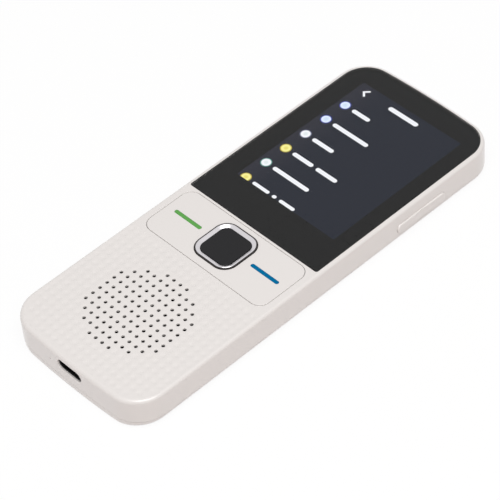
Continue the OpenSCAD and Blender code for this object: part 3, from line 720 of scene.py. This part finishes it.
def grille_cutters():
    """Cutters of the grille's holes, each with a slightly wider rim."""
    rim_r = GRILLE_R + RIM_W
    levels = [
        (FRONT_UNDER - THROUGH, GRILLE_R), (BODY_T - RIM_FROM, GRILLE_R),
        (BODY_T - RIM_TO, rim_r), (BODY_T + THROUGH, rim_r),
    ]
    cutters = []
    for x, y in grille_spots():
        rings = [[(px, py, z) for px, py in circle(x, y, r, HOLE_STEPS)] for z, r in levels]
        cutters.append(loft("hole", rings))
    return merged("grille_cutters", cutters)


def stadium(width, height, y):
    """A stadium-shaped ring about the port's axis, in the plane of the end wall."""
    steps = 16
    r = height / 2
    right = [(width / 2 - r + r * c, r * s) for c, s in arc(0, 0, 1, -90, 90, steps)]
    left = [(-width / 2 + r + r * c, r * s) for c, s in arc(0, 0, 1, 90, 270, steps)]
    return [(u, y, PORT_Z + v) for u, v in right + left]


def port_cutter():
    """The port's hole through the end wall, with a chamfered mouth."""
    bevel = 0.22 * MM
    width = port_high.x - port_low.x + 2 * PORT_CLEARANCE
    height = port_high.z - port_low.z + 2 * PORT_CLEARANCE
    flare = width + 2 * bevel, height + 2 * bevel
    return loft("port_cutter", [
        stadium(*flare, -HALF_L - THROUGH),
        stadium(*flare, -HALF_L),
        stadium(width, height, -HALF_L + bevel),
        stadium(width, height, -HALF_L + SIDE_WALL + THROUGH),
    ])


def side_ring(length, width, r, x):
    """A rounded rectangle about the rocker's middle, in the plane of the side wall."""
    points = rect_outline(length, width, r, corner=8)
    return [(x, ROCKER_Y + u, ROCKER_Z + v) for u, v in points]


def rocker_cutter():
    """The rocker's hole through the side wall."""
    bevel = 0.05 * MM
    length = ROCKER_L + 2 * ROCKER_CLEARANCE
    width = ROCKER_W + 2 * ROCKER_CLEARANCE
    r = width / 2 - ROCKER_FLAT
    flare = length + 2 * bevel, width + 2 * bevel, r + bevel
    wall = BODY_W / 2
    return loft("rocker_cutter", [
        side_ring(length, width, r, wall - SIDE_WALL - THROUGH),
        side_ring(length, width, r, wall - bevel),
        side_ring(*flare, wall),
        side_ring(*flare, wall + THROUGH),
    ])


def mic_cutter():
    """A countersunk hole through the end wall."""
    wall = -HALF_L + bow_drop(MIC_X, BODY_W, END_BOW)
    hole_r = 0.28 * MM
    sink = 0.15 * MM
    levels = [
        (wall - THROUGH, MIC_R), (wall, MIC_R),
        (wall + sink, hole_r), (wall + SIDE_WALL + THROUGH, hole_r),
    ]
    return loft("mic_cutter", [
        [(MIC_X + u, y, MIC_Z + v) for u, v in circle(0, 0, r, HOLE_STEPS)] for y, r in levels
    ])


def panel_cutter():
    """The window in the front wall that the display panel stands in."""
    width = panel_high.x - panel_low.x + 2 * PANEL_CLEARANCE
    length = panel_high.y - panel_low.y + 2 * PANEL_CLEARANCE
    points = rect_outline(width, length, PANEL_R, 0.0, PANEL_Y)
    return prism("panel_window", points, FRONT_UNDER - THROUGH, BODY_T)


def pivot_cutter():
    """A bore that clears the key plate's two pivot pins."""
    gap = 0.05 * MM
    start = (0.0, plate_low.y - gap, PIVOT_Z)
    length = plate_high.y - plate_low.y + 2 * gap
    return cylinder("pivot_bore", start, PIVOT_R + gap, "y", length)


def screw_spots():
    """Middles of the four screws, of which the two at the display end stand closer together."""
    low_x = screws_high.x - SCREW_HEAD_R
    low_y = screws_low.y + SCREW_HEAD_R
    high_y = screws_high.y - SCREW_HEAD_R
    return [(-low_x, low_y), (low_x, low_y), (-SCREW_HIGH_X, high_y), (SCREW_HIGH_X, high_y)]


def front_shell():
    """The front housing, open for all that shows through it."""
    shell = loft("front_shell", body_rings(SEAM_Z, BODY_T))
    cut(shell, relief_cutter())
    cut(shell, prism("cavity", body_outline(SIDE_WALL, SIDE_WALL), SEAM_Z - THROUGH, FRONT_UNDER))
    lens_rings = level_rings(lambda inset: lens_outline(LENS_CLEARANCE - inset), lip_levels())
    cut(shell, loft("lens_pocket", lens_rings), panel_cutter())
    cut(shell, flared(
        "key_window", lambda inset: plate_outline(inset - PLATE_GAP), FRONT_UNDER - THROUGH, BODY_T,
        PLATE_WINDOW_BEVEL,
    ))
    pocket = circle(0.0, GRILLE_Y, GRILLE_POCKET_R, POCKET_STEPS)
    cut(shell, prism("grille_pocket", pocket, FRONT_UNDER - THROUGH, BODY_T - GRILLE_WALL))
    cut(shell, grille_cutters(), port_cutter(), rocker_cutter(), mic_cutter(), pivot_cutter())
    return shade(shell)


def rear_shell():
    """The rear cover, with the lip that stands inside the front housing."""
    top = SEAM_Z - SEAM_GAP
    shell = loft("rear_shell", body_rings(0.0, top))
    lip_out = SIDE_WALL + COVER_LIP_GAP
    lip_in = lip_out + COVER_LIP_T
    lip_top = SEAM_Z + COVER_LIP_H
    join(shell, prism("lip", body_outline(lip_out, lip_out), COVER_T, lip_top))
    cut(shell, prism("hollow", body_outline(lip_in, lip_in), COVER_T, lip_top + THROUGH))
    notch = ROCKER_L / 2 + ROCKER_CLEARANCE + ROCKER_NOTCH_GAP
    cut(shell, box(
        "rocker_notch", (BODY_W / 2 - lip_out - COVER_LIP_T - THROUGH, ROCKER_Y - notch, top),
        (BODY_W / 2, ROCKER_Y + notch, lip_top + THROUGH),
    ))
    for x, y in screw_spots():
        spot = (x, y, -THROUGH)
        cut(shell, cylinder("screw_hole", spot, SCREW_HOLE_R, "z", THROUGH + SCREW_HOLE_H))
    return shade(shell)


place(front_shell(), "housing", shell_plastic, "shell_white", "front_housing")
place(rear_shell(), "housing", shell_plastic, "cover_white", "rear_cover")

# ---- Display ----

LIT_FROM_FOOT = 11.97 * MM
LIT_W = 36.72 * MM
LIT_L = 48.96 * MM
LIT_R = 0.2 * MM
LIT_Y0 = lens_low.y + LIT_FROM_FOOT
PANEL_RIM = 1.0 * MM
PANEL_LEAST_R = 0.4 * MM
PANEL_EDGE_R = 0.1 * MM
WINDOW_MARGIN = 0.5 * MM
PRINT_INSET = 0.05 * MM
PRINT_T = 0.04 * MM
PRINT_Z = lens_low.z + 0.01 * MM

# The image lies under the panel's polariser and upper glass, with its black mask just below it
IMAGE_Z = panel_high.z - 0.7 * MM
LIT_T = 0.05 * MM
MASK_Z = IMAGE_Z - 0.12 * MM
MASK_T = 0.04 * MM
BLOCK_Z = IMAGE_Z - 0.15 * MM
CELL_GAP = 0.03 * MM

# Heights of an icon's rim, of its dot, and of all other marks over the image
RIM_T = 0.01 * MM
DOT_T = 0.03 * MM
MARK_T = 0.02 * MM
DISC_STEPS = 48


def panel_outline(inset):
    """The display panel's outline, set in by inset."""
    width = panel_high.x - panel_low.x - 2 * inset
    length = panel_high.y - panel_low.y - 2 * inset
    return rect_outline(width, length, max(PANEL_R - inset, PANEL_LEAST_R), 0.0, PANEL_Y)


def lit_outline(grow=0.0):
    """The lit area's outline, let out by grow."""
    middle_y = LIT_Y0 + LIT_L / 2
    return rect_outline(LIT_W + 2 * grow, LIT_L + 2 * grow, LIT_R + grow, 0.0, middle_y)


def cover_glass():
    """The lens and the panel's upper glass: one clear block from the front face to the image."""
    levels = rounded_levels(lens_low.z, lens_high.z, LENS_EDGE_R)
    lens = loft("cover_glass", level_rings(lambda inset: lens_outline(-inset), levels))
    block = prism("panel_glass", panel_outline(PANEL_RIM), BLOCK_Z, lens_low.z + OVERLAP)
    return shade(join(lens, block))


def lens_print():
    """The black border, inside the glass at the lens's rear face."""
    sheet = prism("lens_print", lens_outline(-PRINT_INSET), PRINT_Z, PRINT_Z + PRINT_T)
    window = prism("window", lit_outline(WINDOW_MARGIN), PRINT_Z - THROUGH, PRINT_Z + THROUGH)
    return shade(cut(sheet, window), FLAT_SHARP)


def display_mask():
    """The black field round the lit area, inside the glass."""
    points = panel_outline(PANEL_RIM + CELL_GAP)
    return shade(prism("display_mask", points, MASK_Z, MASK_Z + MASK_T), FLAT_SHARP)


def display_cell():
    """The panel's body, with a well for the clear block."""
    levels = rounded_levels(panel_low.z, panel_high.z, PANEL_EDGE_R, steps=3)
    cell = loft("display_cell", level_rings(panel_outline, levels))
    points = panel_outline(PANEL_RIM - CELL_GAP)
    well = prism("well", points, BLOCK_Z - CELL_GAP, panel_high.z + THROUGH)
    return shade(cut(cell, well), FLAT_SHARP)


def flat_mark(name, points, thickness=MARK_T):
    """A thin shape on the plane of the image."""
    return shade(prism(name, points, IMAGE_Z, IMAGE_Z + thickness), FLAT_SHARP)


def disc(x, y, r, floor_y=None):
    """A disc, cut off below floor_y where that is given."""
    points = circle(x, y, r, DISC_STEPS)
    if floor_y is not None:
        points = [(px, max(py, floor_y)) for px, py in points]
    return points


def chevron(x, y, reach, stroke):
    """An arrow head that points to -X, with its tip at x and two arms at 45 degrees."""
    q = stroke / math.sqrt(2)
    return [
        (x, y), (x + reach, y - reach), (x + reach + q, y - reach + q),
        (x + 2 * q, y), (x + reach + q, y + reach - q), (x + reach, y + reach),
    ]


lit_navy = glowing("lit_navy", (0.0070, 0.0100, 0.0212, 1), (0.0170, 0.0175, 0.0290, 1))
lit_white = glowing("lit_white", srgb(244, 246, 250))
lit_pale_blue = glowing("lit_pale_blue", srgb(222, 234, 253))
lit_blue_rim = glowing("lit_blue_rim", srgb(62, 74, 168))
lit_blue_dot = glowing("lit_blue_dot", srgb(208, 226, 246))
lit_yellow = glowing("lit_yellow", srgb(248, 240, 148))
lit_yellow_rim = glowing("lit_yellow_rim", srgb(186, 168, 66))
lit_yellow_dot = glowing("lit_yellow_dot", srgb(238, 226, 118))
lit_teal_rim = glowing("lit_teal_rim", srgb(92, 150, 140))
lit_grey_rim = glowing("lit_grey_rim", srgb(120, 124, 150))
lit_grey_dot = glowing("lit_grey_dot", srgb(228, 236, 238))

# Looks of an icon's face, its rim and the dot in its middle
BLUE_ICON = (lit_pale_blue, lit_blue_rim, lit_blue_dot)
YELLOW_ICON = (lit_yellow, lit_yellow_rim, lit_yellow_dot)
GREY_ICON = (lit_white, lit_grey_rim, lit_grey_dot)
TEAL_ICON = (lit_white, lit_teal_rim, lit_grey_dot)

# Rows of the screen: height above the lens's foot, icon looks and each bar's ends, in millimetres
SCREEN_ROWS = [
    (50.80, BLUE_ICON, [(-12.8, -6.3)]),
    (43.27, BLUE_ICON, [(-12.8, 0.3)]),
    (35.35, GREY_ICON, [(-12.8, -5.0)]),
    (27.79, YELLOW_ICON, [(-12.8, -5.2), (-3.9, 3.8)]),
    (20.30, TEAL_ICON, [(-12.8, 0.6)]),
    (12.63, YELLOW_ICON, [(-12.8, -6.6), (-5.3, -3.9), (-2.6, 3.0)]),
]
ICON_X = -15.7 * MM
ICON_R = 1.65 * MM
ICON_RIM = 0.28 * MM
DOT_R = 0.6 * MM
BAR_H = 1.35 * MM
BAR_DROP = 0.1 * MM

# The last row runs off the screen: an icon is cut at the lit area's edge once it is this near
CUT_MARGIN = 0.5 * MM
CUT_BAR_SHARE = 0.8

# The title's bar (its ends and its height) and the arrow's tip, in millimetres
TITLE_BAR = (-6.0, 4.8, 58.15)
TITLE_BAR_SHARE = 1.1
CHEVRON_SPOT = (-16.1, 58.1)
CHEVRON_REACH = 1.55 * MM
CHEVRON_STROKE = 0.64 * MM


def bar(name, x0, x1, y, height):
    """A pill-shaped bar from x0 to x1, in millimetres."""
    start, end = x0 * MM, x1 * MM
    return flat_mark(name, pill_outline(end - start, height, (start + end) / 2, y, corner=8))


def screen():
    """The lit area and the plain icons and bars that it shows, each with its look."""
    lit = prism("screen_area", lit_outline(), IMAGE_Z - LIT_T, IMAGE_Z)
    pieces = [(shade(lit, FLAT_SHARP), lit_navy)]
    for row, (up, (face, rim, dot), bars) in enumerate(SCREEN_ROWS):
        y = lens_low.y + up * MM
        is_cut = y - ICON_R < LIT_Y0 + CUT_MARGIN
        floor_y = LIT_Y0 if is_cut else None
        pieces += [
            (flat_mark(f"icon_rim_{row}", disc(ICON_X, y, ICON_R, floor_y), RIM_T), rim),
            (flat_mark(f"icon_{row}", disc(ICON_X, y, ICON_R - ICON_RIM, floor_y)), face),
            (flat_mark(f"icon_dot_{row}", disc(ICON_X, y, DOT_R, floor_y), DOT_T), dot),
        ]
        height = BAR_H * CUT_BAR_SHARE if is_cut else BAR_H
        for index, (x0, x1) in enumerate(bars):
            pieces.append((bar(f"bar_{row}_{index}", x0, x1, y - BAR_DROP, height), lit_white))
    x0, x1, up = TITLE_BAR
    title = bar("title_bar", x0, x1, lens_low.y + up * MM, BAR_H * TITLE_BAR_SHARE)
    x, up = CHEVRON_SPOT
    points = chevron(x * MM, lens_low.y + up * MM, CHEVRON_REACH, CHEVRON_STROKE)
    return pieces + [(title, lit_white), (flat_mark("back_arrow", points), lit_white)]


place(cover_glass(), "housing", lens_glass, "lens_glass", "cover_lens", "lcd_panel")
place(lens_print(), "housing", print_black, "lens_glass", "cover_lens")
place(display_mask(), "housing", print_black, "display_glass", "lcd_panel")
place(display_cell(), "housing", SLOT_LOOKS["display_glass"], "display_glass", "lcd_panel")
for thing, look in screen():
    place(thing, "housing", look, "display_glass", "lcd_panel")

# ---- Keys ----

PLATE_EDGE_R = 0.12 * MM
RING_HOLE_BEVEL = 0.03 * MM
RECESS_GAP = 0.03 * MM
MARK_EDGE_R = 0.08 * MM
PUSHER_R = 1.5 * MM

# Each pivot pin is held under the plate by a root at its inner end
PIN_L = 2.3 * MM
ROOT_L = 0.8 * MM

# The ring: a chamfered outer edge, a land and a slope down to the cap, inside a dark collar whose
# colour is painted shade of the gap round the ring
COLLAR_W = 0.36 * MM
COLLAR_PROUD = 0.27 * MM
COLLAR_BEVEL = 0.05 * MM
COLLAR_GAP = 0.01 * MM
RING_EDGE_PROUD = 0.29 * MM
RING_EDGE_W = 0.08 * MM
RING_LAND_W = 0.28 * MM
RING_FOOT_Z = BODY_T - 0.08 * MM
RING_BORE_GAP = 0.05 * MM

CAP_EDGE_R = 0.14 * MM
CAP_SKIRT = 2.2 * MM
CAP_H = 2.3 * MM


def mark_outline(low, high, grow):
    """The outline of a key's mark, let out by grow."""
    width = high.x - low.x + 2 * grow
    height = high.y - low.y + 2 * grow
    return pill_outline(width, height, (low.x + high.x) / 2, (low.y + high.y) / 2)


def mark(name, low, high):
    """The painted mark of a side key."""
    levels = rounded_levels(low.z, high.z, MARK_EDGE_R, steps=3)
    return shade(loft(name, level_rings(lambda inset: mark_outline(low, high, -inset), levels)))


def key_plate():
    """The plate of the two side keys, with its pushers and pivot pins underneath."""
    under = BODY_T - PLATE_T
    levels = rounded_levels(under, BODY_T, PLATE_EDGE_R)
    plate = loft("key_plate_skin", level_rings(plate_outline, levels))
    hole = key_square(RING_SIZE + 2 * RING_GAP, RING_R + RING_GAP)
    cut(plate, flared("ring_hole", hole, under - THROUGH, BODY_T, RING_HOLE_BEVEL))
    marks = ((green_low, green_high), (blue_low, blue_high))
    for low, high in marks:
        recess = mark_outline(low, high, RECESS_GAP)
        cut(plate, prism("recess", recess, low.z - RECESS_GAP, BODY_T + THROUGH))
    pusher_z = SIDE_SWITCH_TOP_Z + SIDE_KEY_GAP
    for low, high in marks:
        spot = ((low.x + high.x) / 2, KEY_Y, pusher_z)
        join(plate, cylinder("pusher", spot, PUSHER_R, "z", under - pusher_z + OVERLAP))
    for y in (plate_low.y, plate_high.y - PIN_L):
        join(plate, cylinder("pin", (0.0, y, PIVOT_Z), PIVOT_R, "y", PIN_L))
        root_y = y + PIN_L - ROOT_L if y < PLATE_Y else y
        join(plate, box(
            "root", (-PIVOT_R, root_y, PIVOT_Z), (PIVOT_R, root_y + ROOT_L, under + OVERLAP),
        ))
    return shade(plate)


ring_outline = key_square(RING_SIZE, RING_R, corner=20)


def key_ring():
    """The bright ring."""
    edge = COLLAR_W
    land = edge + RING_EDGE_W
    slope = land + RING_LAND_W
    bore = (RING_SIZE - CAP_SIZE) / 2 - RING_BORE_GAP
    profile = [
        (ring_low.z, edge), (BODY_T + RING_EDGE_PROUD, edge), (ring_high.z, land),
        (ring_high.z, slope), (RING_FOOT_Z, bore), (ring_low.z, bore),
    ]
    return shade(loft("key_ring", level_rings(ring_outline, profile), closed=True), RING_SHARP)


def ring_shade_collar():
    """A dark collar that shows as a line round the bright ring: its colour is painted shade of the
    gap.
    """
    top = BODY_T + COLLAR_PROUD
    inner = COLLAR_W - COLLAR_GAP
    profile = [
        (ring_low.z, 0.0), (top - COLLAR_BEVEL, 0.0), (top, COLLAR_BEVEL),
        (top, inner), (ring_low.z, inner),
    ]
    return shade(loft("ring_shade_collar", level_rings(ring_outline, profile), closed=True))


def key_cap():
    """The centre key's cap, with the flange that carries the ring and its pusher."""
    levels = rounded_levels(cap_high.z - CAP_SKIRT, cap_high.z, CAP_EDGE_R)
    cap = loft("key_cap", level_rings(key_square(CAP_SIZE, CAP_R), levels))
    base = cap_high.z - CAP_H
    flange = key_square(cap_high.x - cap_low.x, RING_R)
    join(cap, prism("flange", flange(0.0), base, base + FLANGE_T))
    spot = (0.0, KEY_Y, cap_low.z)
    join(cap, cylinder("pusher", spot, PUSHER_R, "z", base - cap_low.z + OVERLAP))
    return shade(cap)


place(key_plate(), "side_keys", key_plastic, "key_white", "key_plate")
green_key_mark = mark("green_key_mark", green_low, green_high)
blue_key_mark = mark("blue_key_mark", blue_low, blue_high)
place(green_key_mark, "side_keys", green_paint, "mark_green", "green_mark")
place(blue_key_mark, "side_keys", blue_paint, "mark_blue", "blue_mark")
place(key_ring(), "center_key", ring_metal, "ring_chrome", "button_ring")
# The dark collar round the ring: painted shade of the gap between ring and plate
place(ring_shade_collar(), "center_key", collar_painted_shade, "cap_black", "button_ring")
place(key_cap(), "center_key", cap_plastic, "cap_black", "center_button")

# ---- Volume rocker ----


def rocker():
    """A long key with two low humps and a dip between them, on a flat back with a pivot pin."""
    pin_r = 0.4 * MM
    back_t = 0.7 * MM
    dip = 0.2 * MM
    dip_half = 2.4 * MM
    edge = 0.45 * MM
    face_x = rocker_high.x
    pin_x = rocker_low.x + pin_r
    back_x = pin_x - back_t / 2
    root_x = back_x + back_t - OVERLAP
    r = ROCKER_W / 2 - ROCKER_FLAT
    rings = [side_ring(ROCKER_L, ROCKER_W, r, root_x)]
    for x, inset in rounded_levels(root_x, face_x, edge)[1:]:
        rings.append(side_ring(ROCKER_L - 2 * inset, ROCKER_W - 2 * inset, r - inset, x))
    key = loft("rocker_key", rings)
    height = rocker_high.z - rocker_low.z
    groove_r = (dip_half ** 2 + dip ** 2) / (2 * dip)
    centre = (face_x + groove_r - dip, ROCKER_Y, rocker_low.z - THROUGH)
    cut(key, cylinder("dip", centre, groove_r, "z", height + 2 * THROUGH, steps=160))
    join(key, box(
        "back", (back_x, rocker_low.y, ROCKER_Z - ROCKER_W / 2),
        (back_x + back_t, rocker_high.y, ROCKER_Z + ROCKER_W / 2),
    ))
    join(key, cylinder("pin", (pin_x, ROCKER_Y, rocker_low.z), pin_r, "z", height))
    return shade(key)


place(rocker(), "rocker", key_plastic, "key_white", "volume_rocker")

# ---- Port ----


def port_shell():
    """The socket's drawn metal shell with a rolled mouth."""
    sheet = 0.3 * MM
    lip = 0.12 * MM
    roll_in = 0.3 * lip
    roll_back = 0.4 * lip
    back_t = 1.0 * MM
    width = port_high.x - port_low.x
    height = port_high.z - port_low.z
    mouth_y = port_low.y
    shell = loft("port_shell", [
        stadium(width - 2 * lip, height - 2 * lip, mouth_y),
        stadium(width - 2 * roll_in, height - 2 * roll_in, mouth_y + roll_back),
        stadium(width, height, mouth_y + lip),
        stadium(width, height, port_high.y),
    ])
    inner = (width - 2 * sheet, height - 2 * sheet)
    flare = (inner[0] + 2 * lip, inner[1] + 2 * lip)
    cut(shell, loft("port_hollow", [
        stadium(*flare, mouth_y - THROUGH),
        stadium(*flare, mouth_y),
        stadium(*inner, mouth_y + lip),
        stadium(*inner, port_high.y - back_t),
    ]))
    return shade(shell, PORT_SHARP)


def port_tongue():
    """The contact tongue with a chamfered tip."""
    low, high = tongue_low, tongue_high
    tip = 0.2 * MM
    rings = []
    for y, inset in ((low.y, tip), (low.y + tip, 0.0), (high.y, 0.0)):
        rings.append([
            (low.x + inset, y, low.z + inset), (high.x - inset, y, low.z + inset),
            (high.x - inset, y, high.z - inset), (low.x + inset, y, high.z - inset),
        ])
    return shade(loft("port_tongue", rings))


place(port_shell(), "housing", port_metal, "port_steel", "usb_c_shell")
place(port_tongue(), "housing", port_plastic, "port_black", "usb_c_tongue")

# ---- Stage, light and camera ----

WORLD_LEVEL = 0.50
WORLD_LIT = (1.0, 0.97, 0.965, 1)

# The floor as it lights the part, and as it is seen: a share of plain white over a pale surface
FLOOR_LIT = (0.70, 0.635, 0.615, 1)
FLOOR_PALE = (0.96, 0.96, 0.96, 1)
FLOOR_SHOWN = 0.9
FLOOR_HALF = 3.0
FLOOR_T = 0.02

# One large softbox above the near end, somewhat to the rocker's side
LAMP_TOWARDS = (0.35, -0.23, 0.91)
LAMP_DISTANCE = 1.1
LAMP_SIZE = 0.80
LAMP_LEVEL = 0.675

# A long lens on a 36 mm sensor, placed from the middle of the cover lens's lower edge
CAMERA_SENSOR = 36.0
CAMERA_LENS = 174.43
CAMERA_OFFSET = Vector((343.94, -287.22, 454.94)) * MM
CAMERA_RIGHT = Vector((0.690199, 0.720402, -0.068165))
CAMERA_UP = Vector((-0.487646, 0.532653, 0.691724))
CAMERA_BACK = Vector((0.534628, -0.444187, 0.718937))


def background_mix(tree, lit, seen):
    """Shows one shader to light paths that see the surface, and gives the other to the rest."""
    nodes, links = tree.nodes, tree.links
    path = nodes.new("ShaderNodeLightPath")
    is_seen = path.outputs["Is Camera Ray"]
    for ray in ("Is Glossy Ray", "Is Transmission Ray"):
        either = nodes.new("ShaderNodeMath")
        either.operation = "MAXIMUM"
        links.new(is_seen, either.inputs[0])
        links.new(path.outputs[ray], either.inputs[1])
        is_seen = either.outputs[0]
    mix = nodes.new("ShaderNodeMixShader")
    links.new(is_seen, mix.inputs["Fac"])
    links.new(lit.outputs[0], mix.inputs[1])
    links.new(seen.outputs[0], mix.inputs[2])
    return mix


def make_world():
    """A warm, even light that is seen as plain white."""
    world = bpy.data.worlds.new("studio")
    bpy.context.scene.world = world
    world.use_nodes = True
    tree = world.node_tree
    tree.nodes.clear()
    lit = tree.nodes.new("ShaderNodeBackground")
    lit.inputs["Color"].default_value = WORLD_LIT
    lit.inputs["Strength"].default_value = WORLD_LEVEL
    seen = tree.nodes.new("ShaderNodeBackground")
    seen.inputs["Color"].default_value = WHITE
    seen.inputs["Strength"].default_value = 1.0
    output = tree.nodes.new("ShaderNodeOutputWorld")
    mix = background_mix(tree, lit, seen)
    tree.links.new(mix.outputs[0], output.inputs["Surface"])


def make_floor():
    """A floor that takes a faint shadow and lights the part from below."""
    floor = box("floor", (-FLOOR_HALF, -FLOOR_HALF, -FLOOR_T), (FLOOR_HALF, FLOOR_HALF, 0.0))
    material = bpy.data.materials.new("floor_white")
    material.use_nodes = True
    tree = material.node_tree
    tree.nodes.clear()
    matt = tree.nodes.new("ShaderNodeBsdfDiffuse")
    matt.inputs["Color"].default_value = FLOOR_LIT
    pale = tree.nodes.new("ShaderNodeBsdfDiffuse")
    pale.inputs["Color"].default_value = FLOOR_PALE
    white = tree.nodes.new("ShaderNodeEmission")
    white.inputs["Strength"].default_value = 1.0
    shown = tree.nodes.new("ShaderNodeMixShader")
    shown.inputs["Fac"].default_value = FLOOR_SHOWN
    tree.links.new(pale.outputs[0], shown.inputs[1])
    tree.links.new(white.outputs[0], shown.inputs[2])
    output = tree.nodes.new("ShaderNodeOutputMaterial")
    mix = background_mix(tree, matt, shown)
    tree.links.new(mix.outputs[0], output.inputs["Surface"])
    floor.data.materials.append(material)


def make_lamp():
    """A square lamp aimed at the part.

    Its level is how bright it makes a matt white surface that faces it.
    """
    data = bpy.data.lights.new("key_light", "AREA")
    data.shape = "SQUARE"
    data.size = LAMP_SIZE
    data.energy = LAMP_LEVEL * (math.pi * LAMP_DISTANCE) ** 2
    lamp = bpy.data.objects.new("key_light", data)
    bpy.context.scene.collection.objects.link(lamp)
    direction = Vector(LAMP_TOWARDS).normalized()
    lamp.location = direction * LAMP_DISTANCE
    lamp.rotation_euler = (-direction).to_track_quat("-Z", "Y").to_euler()


def make_camera():
    """The photo's view."""
    data = bpy.data.cameras.new("camera")
    data.sensor_fit = "HORIZONTAL"
    data.sensor_width = CAMERA_SENSOR
    data.lens = CAMERA_LENS
    data.clip_start = 0.02
    data.clip_end = 20.0
    camera = bpy.data.objects.new("camera", data)
    bpy.context.scene.collection.objects.link(camera)
    anchor = Vector((0.0, lens_low.y, lens_high.z))
    turn = Matrix((CAMERA_RIGHT, CAMERA_UP, CAMERA_BACK)).transposed()
    camera.matrix_world = Matrix.Translation(anchor + CAMERA_OFFSET) @ turn.to_4x4()
    bpy.context.scene.camera = camera


make_world()
make_floor()
make_lamp()
make_camera()
bpy.context.scene.view_settings.view_transform = "Standard"
